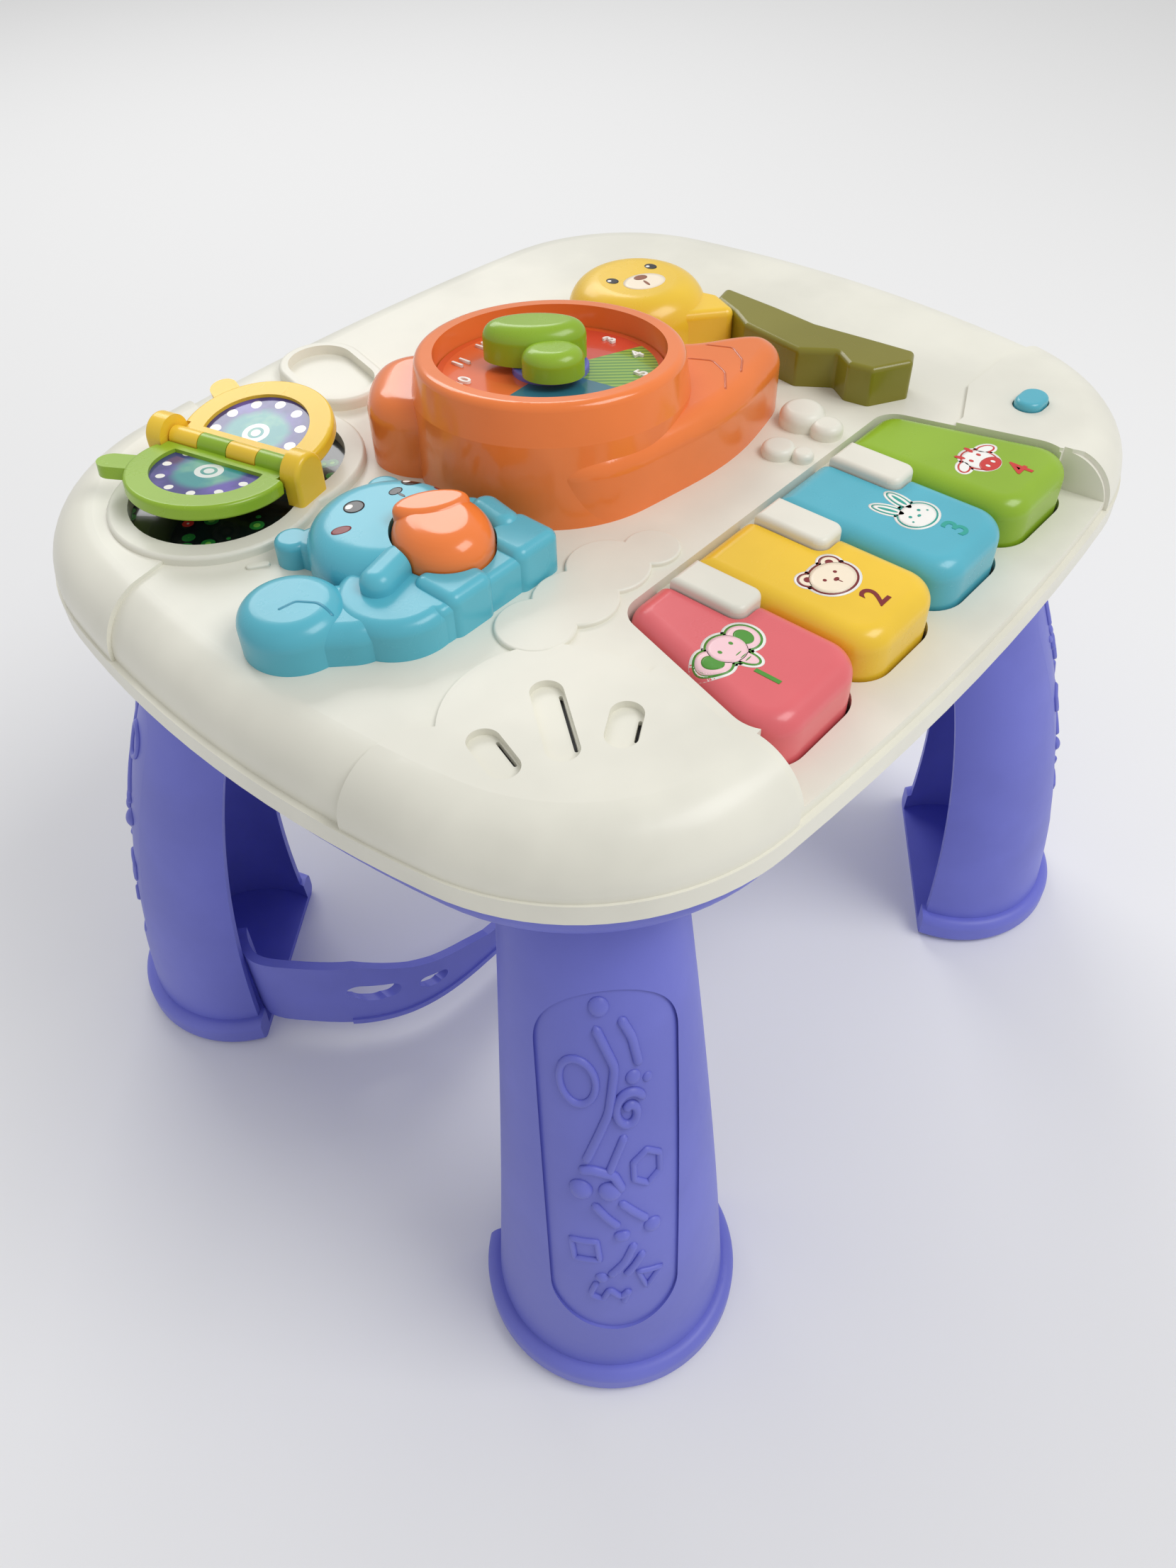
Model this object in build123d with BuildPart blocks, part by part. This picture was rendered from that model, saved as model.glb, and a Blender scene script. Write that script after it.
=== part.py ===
from build123d import *
import math
import os

os.makedirs("parts", exist_ok=True)

# Baby's activity table. Millimetres, +Z up, origin on the floor under the table's centre.
# The piano side faces -Y, the child's right hand is at +X.

# Table top, seen from above
TOP_HALF_X = 165.0
TOP_HALF_Y = 141.0
CORNER_RADIUS = 75.0
SKIN = 2.5

# Heights of the top
RIM_BOTTOM = 231.0
RIM_HEIGHT = 7.0
LEDGE = 2.0
SHOULDER_RADIUS = 16.0
TOP_Z = RIM_BOTTOM + RIM_HEIGHT + 17.0
SKIN_Z = TOP_Z - SKIN

# Under shell
SHELL_GAP = 0.3
SHELL_DEPTH = 14.0
SHELL_BOTTOM = RIM_BOTTOM - SHELL_DEPTH
SHELL_FLOOR = SHELL_BOTTOM + SKIN
SHELL_TONGUE = 5.0
SHELL_EDGE_RADIUS = 6.0

# Legs: a half pipe that leans and tapers, splayed towards the floor
LEG_FOOT_X = 128.7
LEG_FOOT_Y = 109.6
LEG_LEAN_X = 29.3
LEG_LEAN_Y = 33.5
LEG_LEAN_POWER = 2.41
LEG_FOOT_RADIUS = 42.5
LEG_TOP_RADIUS = 26.0
LEG_WALL = 3.0
LEG_EDGE_A = 14.0
LEG_EDGE_B = 238.0
LIP_RADIUS = 46.5
LIP_HEIGHT = 13.0
LIP_ROUND = 4.0
SOLE = 3.0
LEG_CAP = 3.0
SPIGOT_RADIUS = 12.0
SPIGOT_HEIGHT = 8.0
SPIGOT_GAP = 0.3

# Brace between the two rear legs
BRACE_THICKNESS = 4.0
BRACE_BOTTOM = 10.0
BRACE_BEAD = 3.0

# Piano keys
KEY_PITCH = 40.5
KEY_CENTRE_X = 3.4
KEY_REAR_Y = -62.0
KEY_FRONT_Y = -124.0
KEY_FAN_REAR = 68.5
KEY_FAN_FRONT = 86.5
KEY_TOP = TOP_Z + 1.5
KEY_BOTTOM = TOP_Z - 17.0
KEY_GAP = 1.0
KEY_WALL = 2.3
KEY_ROOF = 3.5
KEY_CORNER = 11.0
KEY_REAR_CORNER = 8.0
KEY_EDGE_ROUND = 6.0
SHORT_KEY_WIDTH = 12.3
SHORT_KEY_LENGTH = 28.0
SHORT_KEY_STEP = 4.0
SHORT_KEY_TOP = TOP_Z + 4.7
SHORT_KEY_BOTTOM = TOP_Z - 9.0
SHORT_KEY_GAP = 0.6
AXLE_RADIUS = 1.5
AXLE_GAP = 0.08
AXLE_Y = -67.5
AXLE_Z = TOP_Z - 13.5
EAR_WIDTH = 3.0
WELL_WALL = 3.0
WELL_BOTTOM = RIM_BOTTOM + 4.0
SHELF_Z = RIM_BOTTOM + 10.5
PLUNGER_Y = -100.0
PLUNGER_RADIUS = 3.0
BOARD_THICKNESS = 1.6
DOME_HEIGHT = 5.6
DOME_RADIUS = 4.5
DOME_SEAT_GAP = 0.3

# Dial
DIAL_X = -14.4
DIAL_Y = 9.8
DIAL_CREST = TOP_Z + 34.0
DIAL_RIM_OUTER = 41.5
DIAL_RIM_INNER = 36.0
DIAL_FACE_Z = TOP_Z + 27.0
DIAL_FACE_THICKNESS = 1.5
DIAL_SHELF_INNER = 31.0
DIAL_SKIRT_RADIUS = 44.0
DIAL_FIT = 0.3
HUB_RADIUS = 12.0
HUB_HEIGHT = 2.3
SHAFT_RADIUS = 4.0
SHAFT_GAP = 0.4
KNOB_LIFT = 0.4
KNOB_TOP = DIAL_FACE_Z + 14.0
DIAL_LEAN = 5.0
DIAL_LEAN_TURN = 42.0

# Squirrel and its acorn button
SQUIRREL_BODY_TOP = TOP_Z + 11.5
SQUIRREL_HEAD_TOP = TOP_Z + 16.0
SQUIRREL_FOOT_TOP = TOP_Z + 13.5
SQUIRREL_SKIN = 2.5
ACORN_X = -85.3
ACORN_Y = -13.2
ACORN_TILT = -24.0
ACORN_HALF_WIDTH = 14.2
ACORN_HALF_LENGTH = 16.5
ACORN_TOP = TOP_Z + 21.0
ACORN_GAP = 0.5
ACORN_TRAVEL = 3.0

# Flip book
BOOK_X = -93.0
BOOK_Y = 72.0
BOOK_TURN = -76.0
PAGE_OFFSET = 11.5
PAGE_RADIUS = 25.0
PAGE_INNER = 17.5
PAGE_THICKNESS = 4.8
PAGE_CLEAR = 0.2
BOOK_AXIS_Z = TOP_Z + 11.4
BARREL_RADIUS = 3.4
BARREL_HALF = 22.4
PIN_RADIUS = 1.5
PIN_GAP = 0.08
POST_LENGTH = 6.5
POST_RADIUS = 6.5
PAD_RADIUS = 33.0
PAD_HEIGHT = 3.0
RECESS_RADIUS = 26.5
PLATE_THICKNESS = 1.0
WINDOW_THICKNESS = 1.4
WINDOW_STEP = 1.2

# Mode button
MODE_X = 106.0
MODE_Y = -97.0
MODE_LENGTH = 13.0
MODE_WIDTH = 9.5
MODE_TRAVEL = 2.0
RELIEF = 1.2

# Battery bay
BAY_X = 62.0
BAY_Y = 58.0
BAY_WALL = 2.0
BAY_CEILING = SHELL_FLOOR + 15.5
DOOR_THICKNESS = 1.8
DOOR_GAP = 0.3
CELL_RADIUS = 7.1
CELL_LENGTH = 49.0

# Speaker
SPEAKER_X = -109.0
SPEAKER_Y = -75.0
SPEAKER_RADIUS = 22.5

# Screws
SCREW_POINTS = [
    (-140.0, 30.0),
    (140.0, 30.0),
    (-60.0, 117.0),
    (60.0, 117.0),
    (-104.0, -109.0),
    (112.0, -107.0),
]
BOSS_RADIUS = 4.0
SCREW_HEAD_RADIUS = 3.0
SCREW_RADIUS = 1.15
BOSS_SPLIT = SHELL_FLOOR + 8.0


# Centres of the outline's corner arcs, and the radii of the long arcs that meet them smoothly
CORNER_X = TOP_HALF_X - 81.0
CORNER_Y = TOP_HALF_Y - 79.0


def side_radius(reach, along):
    """Radius of a long side's arc, which is tangent to the corner arcs at both its ends."""
    return (CORNER_RADIUS**2 - reach**2 - along**2) / (2.0 * (CORNER_RADIUS - reach))


def table_face(inset):
    """Table outline drawn in by inset: four corner arcs joined by four long shallow ones."""
    corner = CORNER_RADIUS - inset
    end_radius = side_radius(TOP_HALF_X - CORNER_X, CORNER_Y)
    side_radius_y = side_radius(TOP_HALF_Y - CORNER_Y, CORNER_X)
    low = math.atan2(CORNER_Y, CORNER_X - TOP_HALF_X + end_radius)
    high = math.atan2(CORNER_Y - TOP_HALF_Y + side_radius_y, CORNER_X)
    middle = (low + high) / 2.0
    spots = []
    for turn in (low, middle, high):
        spots.append((CORNER_X + corner * math.cos(turn), CORNER_Y + corner * math.sin(turn)))
    (end_x, end_y), (mid_x, mid_y), (side_x, side_y) = spots
    with BuildSketch() as face:
        with BuildLine():
            for sx in (-1, 1):
                ThreePointArc((sx * end_x, -end_y), (sx * (TOP_HALF_X - inset), 0.0), (sx * end_x, end_y))
                for sy in (-1, 1):
                    ThreePointArc(
                        (sx * end_x, sy * end_y), (sx * mid_x, sy * mid_y), (sx * side_x, sy * side_y)
                    )
            for sy in (-1, 1):
                ThreePointArc((-side_x, sy * side_y), (0.0, sy * (TOP_HALF_Y - inset)), (side_x, sy * side_y))
        make_face()
    return face.sketch


def polygon_face(points, rounding=0.0):
    """Polygon with all its corners rounded, as a face on the XY plane."""
    with BuildSketch() as face:
        with BuildLine():
            Polyline(*points, close=True)
        make_face()
        if rounding > 0.0:
            fillet(face.vertices(), rounding)
    return face.sketch


def smooth_face(points):
    """Closed smooth curve through points, as a face on the XY plane."""
    with BuildSketch() as face:
        with BuildLine():
            Spline(*points, periodic=True)
        make_face()
    return face.sketch


def drawn_in(points, amount):
    """Anticlockwise closed points, each moved inwards at right angles to its two neighbours."""
    moved = []
    for i in range(len(points)):
        before = points[i - 1]
        after = points[(i + 1) % len(points)]
        run_x = after[0] - before[0]
        run_y = after[1] - before[1]
        size = math.hypot(run_x, run_y)
        moved.append((points[i][0] - amount * run_y / size, points[i][1] + amount * run_x / size))
    return moved


def ellipse_face(x, y, half_x, half_y, turn):
    """Ellipse at x, y turned by turn degrees, as a face on the XY plane."""
    with BuildSketch() as face:
        with Locations(Location((x, y, 0), (0, 0, turn))):
            Ellipse(half_x, half_y)
    return face.sketch


def capsule_face(x, y, length, width, turn):
    """Rounded bar at x, y, its length turned by turn degrees, as a face on the XY plane."""
    with BuildSketch() as face:
        with Locations(Location((x, y, 0), (0, 0, turn))):
            SlotOverall(length, width)
    return face.sketch


def disc_face(x, y, radius):
    """Circle at x, y, as a face on the XY plane."""
    with BuildSketch() as face:
        with Locations((x, y)):
            Circle(radius)
    return face.sketch


def pillow(face, bottom, top, rounding):
    """Solid raised from a face between two heights, its upper edge rounded."""
    with BuildPart() as raised:
        with BuildSketch(Plane.XY.offset(bottom)):
            add(face)
        extrude(amount=top - bottom)
        if rounding > 0.0:
            fillet(raised.faces().sort_by(Axis.Z)[-1].edges(), rounding)
    return raised.part


def rod(x, y, bottom, top, radius):
    """Upright cylinder between two heights."""
    return pillow(disc_face(x, y, radius), bottom, top, 0.0)


def save(part, label):
    part.label = label
    export_step(part, "parts/" + label + ".step")


# Key layout, shared by the keys and the well
key_edges = [KEY_CENTRE_X + KEY_PITCH * i for i in (-1, 0, 1)]
well_left_rear = KEY_CENTRE_X - KEY_FAN_REAR
well_right_rear = KEY_CENTRE_X + KEY_FAN_REAR
well_left_front = KEY_CENTRE_X - KEY_FAN_FRONT
well_right_front = KEY_CENTRE_X + KEY_FAN_FRONT


def key_corners(index, grow):
    """Corners of one key from above, grown by grow: rear left, rear right, front right, front left."""
    half = KEY_GAP / 2.0 - grow
    left_rear = well_left_rear - grow if index == 0 else key_edges[index - 1] + half
    left_front = well_left_front - grow if index == 0 else key_edges[index - 1] + half
    right_rear = well_right_rear + grow if index == 3 else key_edges[index] - half
    right_front = well_right_front + grow if index == 3 else key_edges[index] - half
    return [
        (left_rear, KEY_REAR_Y + grow),
        (right_rear, KEY_REAR_Y + grow),
        (right_front, KEY_FRONT_Y - grow),
        (left_front, KEY_FRONT_Y - grow),
    ]


def key_face(index, grow):
    """One key from above, its front corners rounded, grown by grow."""
    with BuildSketch() as face:
        with BuildLine():
            Polyline(*key_corners(index, grow), close=True)
        make_face()
        fillet(face.vertices().sort_by(Axis.Y)[:2], KEY_CORNER + grow)
        if index == 0:
            fillet(face.vertices().sort_by(Axis.Y)[-2:].sort_by(Axis.X)[:1], KEY_REAR_CORNER + grow)
        if index == 3:
            fillet(face.vertices().sort_by(Axis.Y)[-2:].sort_by(Axis.X)[-1:], KEY_REAR_CORNER + grow)
    return face.sketch


def short_key_face(index, grow, rear_gap=0.0):
    """One short white key from above, grown by grow; it stands at the right rear corner of a key."""
    right = key_edges[index] - KEY_GAP / 2.0
    left = right - SHORT_KEY_WIDTH
    front = KEY_REAR_Y - SHORT_KEY_LENGTH
    rear = KEY_REAR_Y + 3.0 - rear_gap
    with BuildSketch() as face:
        with BuildLine():
            Polyline(
                (left - grow, rear),
                (right + grow, rear),
                (right + grow, front - grow),
                (left - grow, front - grow),
                close=True,
            )
        make_face()
        fillet(face.vertices().sort_by(Axis.Y)[:2], 3.5 + grow)
    return face.sketch


# Table top: outer form
with BuildPart() as outer_form:
    with BuildSketch(Plane.XY.offset(RIM_BOTTOM)):
        add(table_face(0.0))
    extrude(amount=RIM_HEIGHT)
    with BuildSketch(Plane.XY.offset(RIM_BOTTOM + RIM_HEIGHT)):
        add(table_face(LEDGE))
    extrude(amount=TOP_Z - RIM_BOTTOM - RIM_HEIGHT)
    fillet(outer_form.faces().sort_by(Axis.Z)[-1].edges(), SHOULDER_RADIUS)

# Table top: the space inside it
inner_form = pillow(table_face(LEDGE + SKIN), RIM_BOTTOM - 1.0, SKIN_Z, SHOULDER_RADIUS - SKIN)

# Table top: the form that raised panels are trimmed to
relief_form = pillow(table_face(LEDGE - RELIEF), RIM_BOTTOM + RIM_HEIGHT, TOP_Z + RELIEF, SHOULDER_RADIUS)

# Raised panels of the table top, from above
HEAD_X = -111.0
HEAD_Y = -77.0
HEAD_RADIUS = 29.5
CHEEK_X = -146.0
CHEEK_Y = -68.0
CHEEK_RADIUS = 19.0
EDGE_FAR = 180.0
corner_skirt = polygon_face(
    [
        (-EDGE_FAR, CHEEK_Y + CHEEK_RADIUS),
        (CHEEK_X, CHEEK_Y + CHEEK_RADIUS),
        (HEAD_X, HEAD_Y + 10.0),
        (-81.5, -84.0),
        (-77.0, -84.0),
        (well_left_front - 1.5, KEY_FRONT_Y + KEY_CORNER),
        (well_left_front - 6.0, -EDGE_FAR),
        (-EDGE_FAR, -EDGE_FAR),
    ]
)
button_skirt = polygon_face(
    [
        (70.0, -84.0),
        (84.0, -84.0),
        (104.0, -75.0),
        (130.0, -75.0),
        (EDGE_FAR, -87.0),
        (EDGE_FAR, -EDGE_FAR),
        (well_right_front + 6.0, -EDGE_FAR),
        (well_right_front, KEY_FRONT_Y),
    ]
)

# Flip book places, worked out along and across its hinge
book_along = (math.cos(math.radians(BOOK_TURN)), math.sin(math.radians(BOOK_TURN)))
book_across = (-book_along[1], book_along[0])


def book_point(along, across):
    """Point on the table from a distance along the book's hinge and one across it."""
    x = BOOK_X + along * book_along[0] + across * book_across[0]
    y = BOOK_Y + along * book_along[1] + across * book_across[1]
    return (x, y)


book_skirt = polygon_face(
    [
        book_point(8.0, -PAGE_OFFSET),
        (-EDGE_FAR, 47.0),
        (-EDGE_FAR, EDGE_FAR),
        (-58.0, EDGE_FAR),
        book_point(-8.0, PAGE_OFFSET),
    ]
)

# Places of the small reliefs: x, y, radius and height
BUMPS = [(49.0, -43.8, 7.6, 6.0), (48.0, -54.0, 5.4, 4.5), (28.5, -48.5, 5.5, 3.5), (30.5, -56.5, 3.6, 3.2)]
CLOUD = [(-86.0, -48.0, 11.5), (-70.0, -48.5, 12.5), (-53.0, -46.0, 12.5), (-38.0, -50.0, 8.5)]
CLOUD_HEIGHT = 1.4
TROUGH_X = -31.0
TROUGH_Y = 100.0
TROUGH_TURN = 76.0
TROUGH_LENGTH = 46.0
TROUGH_WIDTH = 30.0
TROUGH_RISE = 4.0
TROUGH_WALL = 3.5
SLOTS = [(-110.5, -77.0, 30.0, 53.0), (-129.0, -73.5, 19.0, 72.0), (-100.5, -91.5, 17.0, 30.0)]
SLOT_WIDTH = 9.0
SLOT_DEPTH = 2.2
SLIT = 1.0

# Acorn button from above, and the hole under it
acorn_face = ellipse_face(ACORN_X, ACORN_Y, ACORN_HALF_WIDTH, ACORN_HALF_LENGTH, ACORN_TILT)
ACORN_SHAFT = 4.0
STEM_X = -79.0
STEM_Y = 1.5
STEM_RADIUS = 2.6
STEM_BOTTOM = ACORN_TOP - 8.0
MODE_SHAFT_GAP = 0.5

# Scalloped relief, as one outline
with BuildSketch() as cloud_face:
    for x, y, radius in CLOUD:
        with Locations((x, y)):
            Circle(radius)


def shelf_face(grow):
    """Lowered shelf in front of the keys, from above, its ends and rear edge moved out by grow."""
    points = [
        (well_left_front + 2.0 - grow, KEY_FRONT_Y + 6.0 + grow),
        (well_right_front - 2.0 + grow, KEY_FRONT_Y + 6.0 + grow),
        (well_right_front + 5.0 + grow, -EDGE_FAR),
        (well_left_front - 5.0 - grow, -EDGE_FAR),
    ]
    return polygon_face(points)


shelf_inner = shelf_face(0.0)
shelf_outer = shelf_face(SKIN)

with BuildPart() as tray_top:
    add(outer_form.part)
    add(pillow(corner_skirt, RIM_BOTTOM + RIM_HEIGHT, TOP_Z + 3.0, 0.0) & relief_form)
    add(rod(HEAD_X, HEAD_Y, RIM_BOTTOM + RIM_HEIGHT, TOP_Z + 3.0, HEAD_RADIUS) & relief_form)
    add(rod(CHEEK_X, CHEEK_Y, RIM_BOTTOM + RIM_HEIGHT, TOP_Z + 3.0, CHEEK_RADIUS) & relief_form)
    add(pillow(button_skirt, RIM_BOTTOM + RIM_HEIGHT, TOP_Z + 3.0, 0.0) & relief_form)
    add(pillow(book_skirt, RIM_BOTTOM + RIM_HEIGHT, TOP_Z + 3.0, 0.0) & relief_form)
    # raised pad under the flip book
    add(pillow(disc_face(*book_point(0.0, -PAGE_OFFSET), PAD_RADIUS), TOP_Z - 1.0, TOP_Z + PAD_HEIGHT, 1.2))
    add(pillow(disc_face(*book_point(0.0, PAGE_OFFSET), PAD_RADIUS), TOP_Z - 1.0, TOP_Z + PAD_HEIGHT, 1.2))
    # scalloped relief between the squirrel and the keys
    add(pillow(cloud_face.sketch, TOP_Z - 1.0, TOP_Z + CLOUD_HEIGHT, 0.7))
    # bumps behind the keys
    for x, y, radius, height in BUMPS:
        add(pillow(disc_face(x, y, radius), TOP_Z - 1.0, TOP_Z + height, min(radius, height) * 0.55))
    # little raised dash
    add(pillow(capsule_face(-117.0, 33.0, 7.0, 2.4, -35.0), TOP_Z - 1.0, TOP_Z + 0.9, 0.4))
    # walls of the trough at the back
    add(
        pillow(
            capsule_face(TROUGH_X, TROUGH_Y, TROUGH_LENGTH, TROUGH_WIDTH, TROUGH_TURN),
            TOP_Z - 8.0,
            TOP_Z + TROUGH_RISE,
            1.5,
        )
    )
    # hollow
    add(inner_form, mode=Mode.SUBTRACT)
    # lowered shelf in front of the keys, with its floor and its end walls
    add(pillow(shelf_outer, SHELF_Z - SKIN, TOP_Z + 3.0, 0.0) & outer_form.part)
    with BuildSketch(Plane.XY.offset(SHELF_Z)):
        add(shelf_inner)
    extrude(amount=40.0, mode=Mode.SUBTRACT)
    # walls round the key well
    well_faces = [key_face(i, KEY_GAP) for i in range(4)]
    wall_faces = [key_face(i, KEY_GAP + WELL_WALL) for i in range(4)]
    with BuildSketch(Plane.XY.offset(WELL_BOTTOM)):
        for face in wall_faces:
            add(face)
    extrude(amount=SHELF_Z - WELL_BOTTOM)
    with BuildSketch(Plane.XY.offset(SHELF_Z - 1.0)):
        for face in wall_faces:
            add(face)
        add(
            polygon_face(
                [
                    (-EDGE_FAR, 0.0),
                    (EDGE_FAR, 0.0),
                    (EDGE_FAR, KEY_FRONT_Y + 8.0),
                    (-EDGE_FAR, KEY_FRONT_Y + 8.0),
                ]
            ),
            mode=Mode.INTERSECT,
        )
    extrude(amount=TOP_Z - 1.0 - SHELF_Z + 1.0)
    with BuildSketch(Plane.XY.offset(WELL_BOTTOM - 1.0)):
        for face in well_faces:
            add(face)
    extrude(amount=60.0, mode=Mode.SUBTRACT)
    # no wall stands between the keys' rounded front corners
    with BuildSketch(Plane.XY.offset(SHELF_Z)):
        with Locations(((well_left_front + well_right_front) / 2.0, KEY_FRONT_Y + KEY_CORNER / 2.0)):
            Rectangle(well_right_front - well_left_front - 2 * KEY_CORNER, KEY_CORNER + 4.0)
    extrude(amount=KEY_TOP - SHELF_Z, mode=Mode.SUBTRACT)
    # short white keys, moulded with the top
    for i in range(3):
        add(pillow(short_key_face(i, 0.0, SHORT_KEY_STEP + 3.0), SHORT_KEY_BOTTOM, SHORT_KEY_TOP, 1.8))
        add(pillow(short_key_face(i, -0.6), SHORT_KEY_BOTTOM, TOP_Z - 3.5, 0.0))

    # bore for the key axle through the side walls of the well
    with BuildSketch(Plane.YZ.offset(well_left_rear - 12.0)):
        with Locations((AXLE_Y, AXLE_Z)):
            Circle(AXLE_RADIUS + AXLE_GAP)
    extrude(amount=well_right_rear - well_left_rear + 24.0, mode=Mode.SUBTRACT)
    # trough floor, sunk between its walls
    add(
        pillow(
            capsule_face(
                TROUGH_X,
                TROUGH_Y,
                TROUGH_LENGTH - 2 * TROUGH_WALL,
                TROUGH_WIDTH - 2 * TROUGH_WALL,
                TROUGH_TURN,
            ),
            TOP_Z + 0.6,
            TOP_Z + 20.0,
            0.0,
        ),
        mode=Mode.SUBTRACT,
    )
    # recess for the printed plate under the flip book
    for side in (-1, 1):
        add(
            rod(*book_point(0.0, side * PAGE_OFFSET), TOP_Z - 1.5, TOP_Z + 20.0, RECESS_RADIUS),
            mode=Mode.SUBTRACT,
        )
    # sunk slots over the speaker, each with a fine slit through the skin
    for x, y, length, turn in SLOTS:
        add(
            pillow(
                capsule_face(x, y, length, SLOT_WIDTH, turn), TOP_Z + RELIEF - SLOT_DEPTH, TOP_Z + 9.0, 0.0
            ),
            mode=Mode.SUBTRACT,
        )
        shift = SLOT_WIDTH / 2.0 - SLIT
        slit_x = x + shift * math.sin(math.radians(turn))
        slit_y = y - shift * math.cos(math.radians(turn))
        add(
            pillow(
                capsule_face(slit_x, slit_y, length - SLOT_WIDTH, SLIT, turn), SKIN_Z - 2.0, TOP_Z + 9.0, 0.0
            ),
            mode=Mode.SUBTRACT,
        )
    # holes under the dial, the acorn and the mode button
    add(rod(DIAL_X, DIAL_Y, SKIN_Z - 2.0, TOP_Z + 2.0, SHAFT_RADIUS + 6.0), mode=Mode.SUBTRACT)
    add(rod(ACORN_X, ACORN_Y, SKIN_Z - 2.0, TOP_Z + 2.0, ACORN_SHAFT + 1.0), mode=Mode.SUBTRACT)
    with BuildSketch(Plane.XY.offset(SKIN_Z - 2.0)):
        with Locations((MODE_X, MODE_Y)):
            SlotOverall(MODE_LENGTH + 2 * MODE_SHAFT_GAP, MODE_WIDTH + 2 * MODE_SHAFT_GAP)
    extrude(amount=12.0, mode=Mode.SUBTRACT)
    # screw bosses
    for x, y in SCREW_POINTS:
        add(rod(x, y, BOSS_SPLIT + 0.3, SKIN_Z + 0.5, BOSS_RADIUS))
        add(rod(x, y, BOSS_SPLIT, BOSS_SPLIT + 12.0, SCREW_RADIUS), mode=Mode.SUBTRACT)
save(tray_top.part, "tray_top")

# Under shell that closes the table top from below
shell_inset = LEDGE + SKIN + SHELL_GAP
LEG_TOP_X = LEG_FOOT_X - LEG_LEAN_X
LEG_TOP_Y = LEG_FOOT_Y - LEG_LEAN_Y
LEG_SIGNS = [(-1, -1), (1, -1), (-1, 1), (1, 1)]
SOCKET_WALL = 2.5
POST_Z = SHELL_FLOOR + 7.0
BOARD_POSTS = [
    (-60.0, -97.0),
    (-5.0, -97.0),
    (70.0, -97.0),
    (100.0, -108.0),
    (-98.0, 2.0),
    (-60.0, 8.0),
    (4.0, 10.0),
    (-60.0, -25.0),
]
POST_RADIUS_SMALL = 3.0
BAY_LENGTH = 2 * CELL_RADIUS * 2 + 8.0
BAY_WIDTH = CELL_LENGTH + 10.0

with BuildPart() as under_shell:
    with BuildSketch(Plane.XY.offset(SHELL_BOTTOM)):
        add(table_face(shell_inset))
    extrude(amount=SHELL_DEPTH + SHELL_TONGUE)
    fillet(under_shell.faces().sort_by(Axis.Z)[0].edges(), SHELL_EDGE_RADIUS)
    with BuildSketch(Plane.XY.offset(SHELL_FLOOR)):
        add(table_face(shell_inset + SKIN))
    extrude(amount=40.0, mode=Mode.SUBTRACT)
    # cups that take the spigots of the legs
    for sx, sy in LEG_SIGNS:
        x = sx * LEG_TOP_X
        y = sy * LEG_TOP_Y
        cup_top = SHELL_BOTTOM + SPIGOT_HEIGHT + SPIGOT_GAP
        add(rod(x, y, SHELL_BOTTOM + 1.0, cup_top + SOCKET_WALL, SPIGOT_RADIUS + SPIGOT_GAP + SOCKET_WALL))
        add(rod(x, y, SHELL_BOTTOM - 1.0, cup_top, SPIGOT_RADIUS + SPIGOT_GAP), mode=Mode.SUBTRACT)
    # posts for the circuit boards
    for x, y in BOARD_POSTS:
        add(rod(x, y, SHELL_FLOOR - 0.5, POST_Z, POST_RADIUS_SMALL))
    # battery bay, open below
    with BuildSketch(Plane.XY.offset(SHELL_BOTTOM)):
        with Locations((BAY_X, BAY_Y)):
            RectangleRounded(BAY_LENGTH + 2 * BAY_WALL, BAY_WIDTH + 2 * BAY_WALL, 5.0)
    extrude(amount=BAY_CEILING - SHELL_BOTTOM)
    with BuildSketch(Plane.XY.offset(SHELL_BOTTOM - 1.0)):
        with Locations((BAY_X, BAY_Y)):
            RectangleRounded(BAY_LENGTH - 3.0, BAY_WIDTH - 3.0, 3.0)
    extrude(amount=BAY_CEILING - BAY_WALL - SHELL_BOTTOM + 1.0, mode=Mode.SUBTRACT)
    with BuildSketch(Plane.XY.offset(SHELL_BOTTOM - 1.0)):
        with Locations((BAY_X, BAY_Y)):
            RectangleRounded(BAY_LENGTH, BAY_WIDTH, 3.0)
    extrude(amount=1.0 + DOOR_THICKNESS, mode=Mode.SUBTRACT)
    # screw bosses, with the heads sunk from below
    for x, y in SCREW_POINTS:
        add(rod(x, y, SHELL_BOTTOM + 0.5, BOSS_SPLIT, BOSS_RADIUS))
        add(rod(x, y, SHELL_BOTTOM - 1.0, BOSS_SPLIT + 1.0, SCREW_RADIUS + 0.3), mode=Mode.SUBTRACT)
        add(rod(x, y, SHELL_BOTTOM - 1.0, SHELL_FLOOR + 3.0, SCREW_HEAD_RADIUS + 0.4), mode=Mode.SUBTRACT)
save(under_shell.part, "under_shell")

# Battery door, screwed on from below
with BuildPart() as battery_door:
    with BuildSketch(Plane.XY.offset(SHELL_BOTTOM)):
        with Locations((BAY_X, BAY_Y)):
            RectangleRounded(BAY_LENGTH - 2 * DOOR_GAP, BAY_WIDTH - 2 * DOOR_GAP, 3.0 - DOOR_GAP)
    extrude(amount=DOOR_THICKNESS)
    with BuildSketch(Plane.XY.offset(SHELL_BOTTOM)):
        with Locations((BAY_X, BAY_Y)):
            with GridLocations(0.0, 5.0, 1, 4):
                SlotOverall(BAY_LENGTH * 0.5, 1.6)
    extrude(amount=0.5, mode=Mode.SUBTRACT)
save(battery_door.part, "battery_door")

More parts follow.
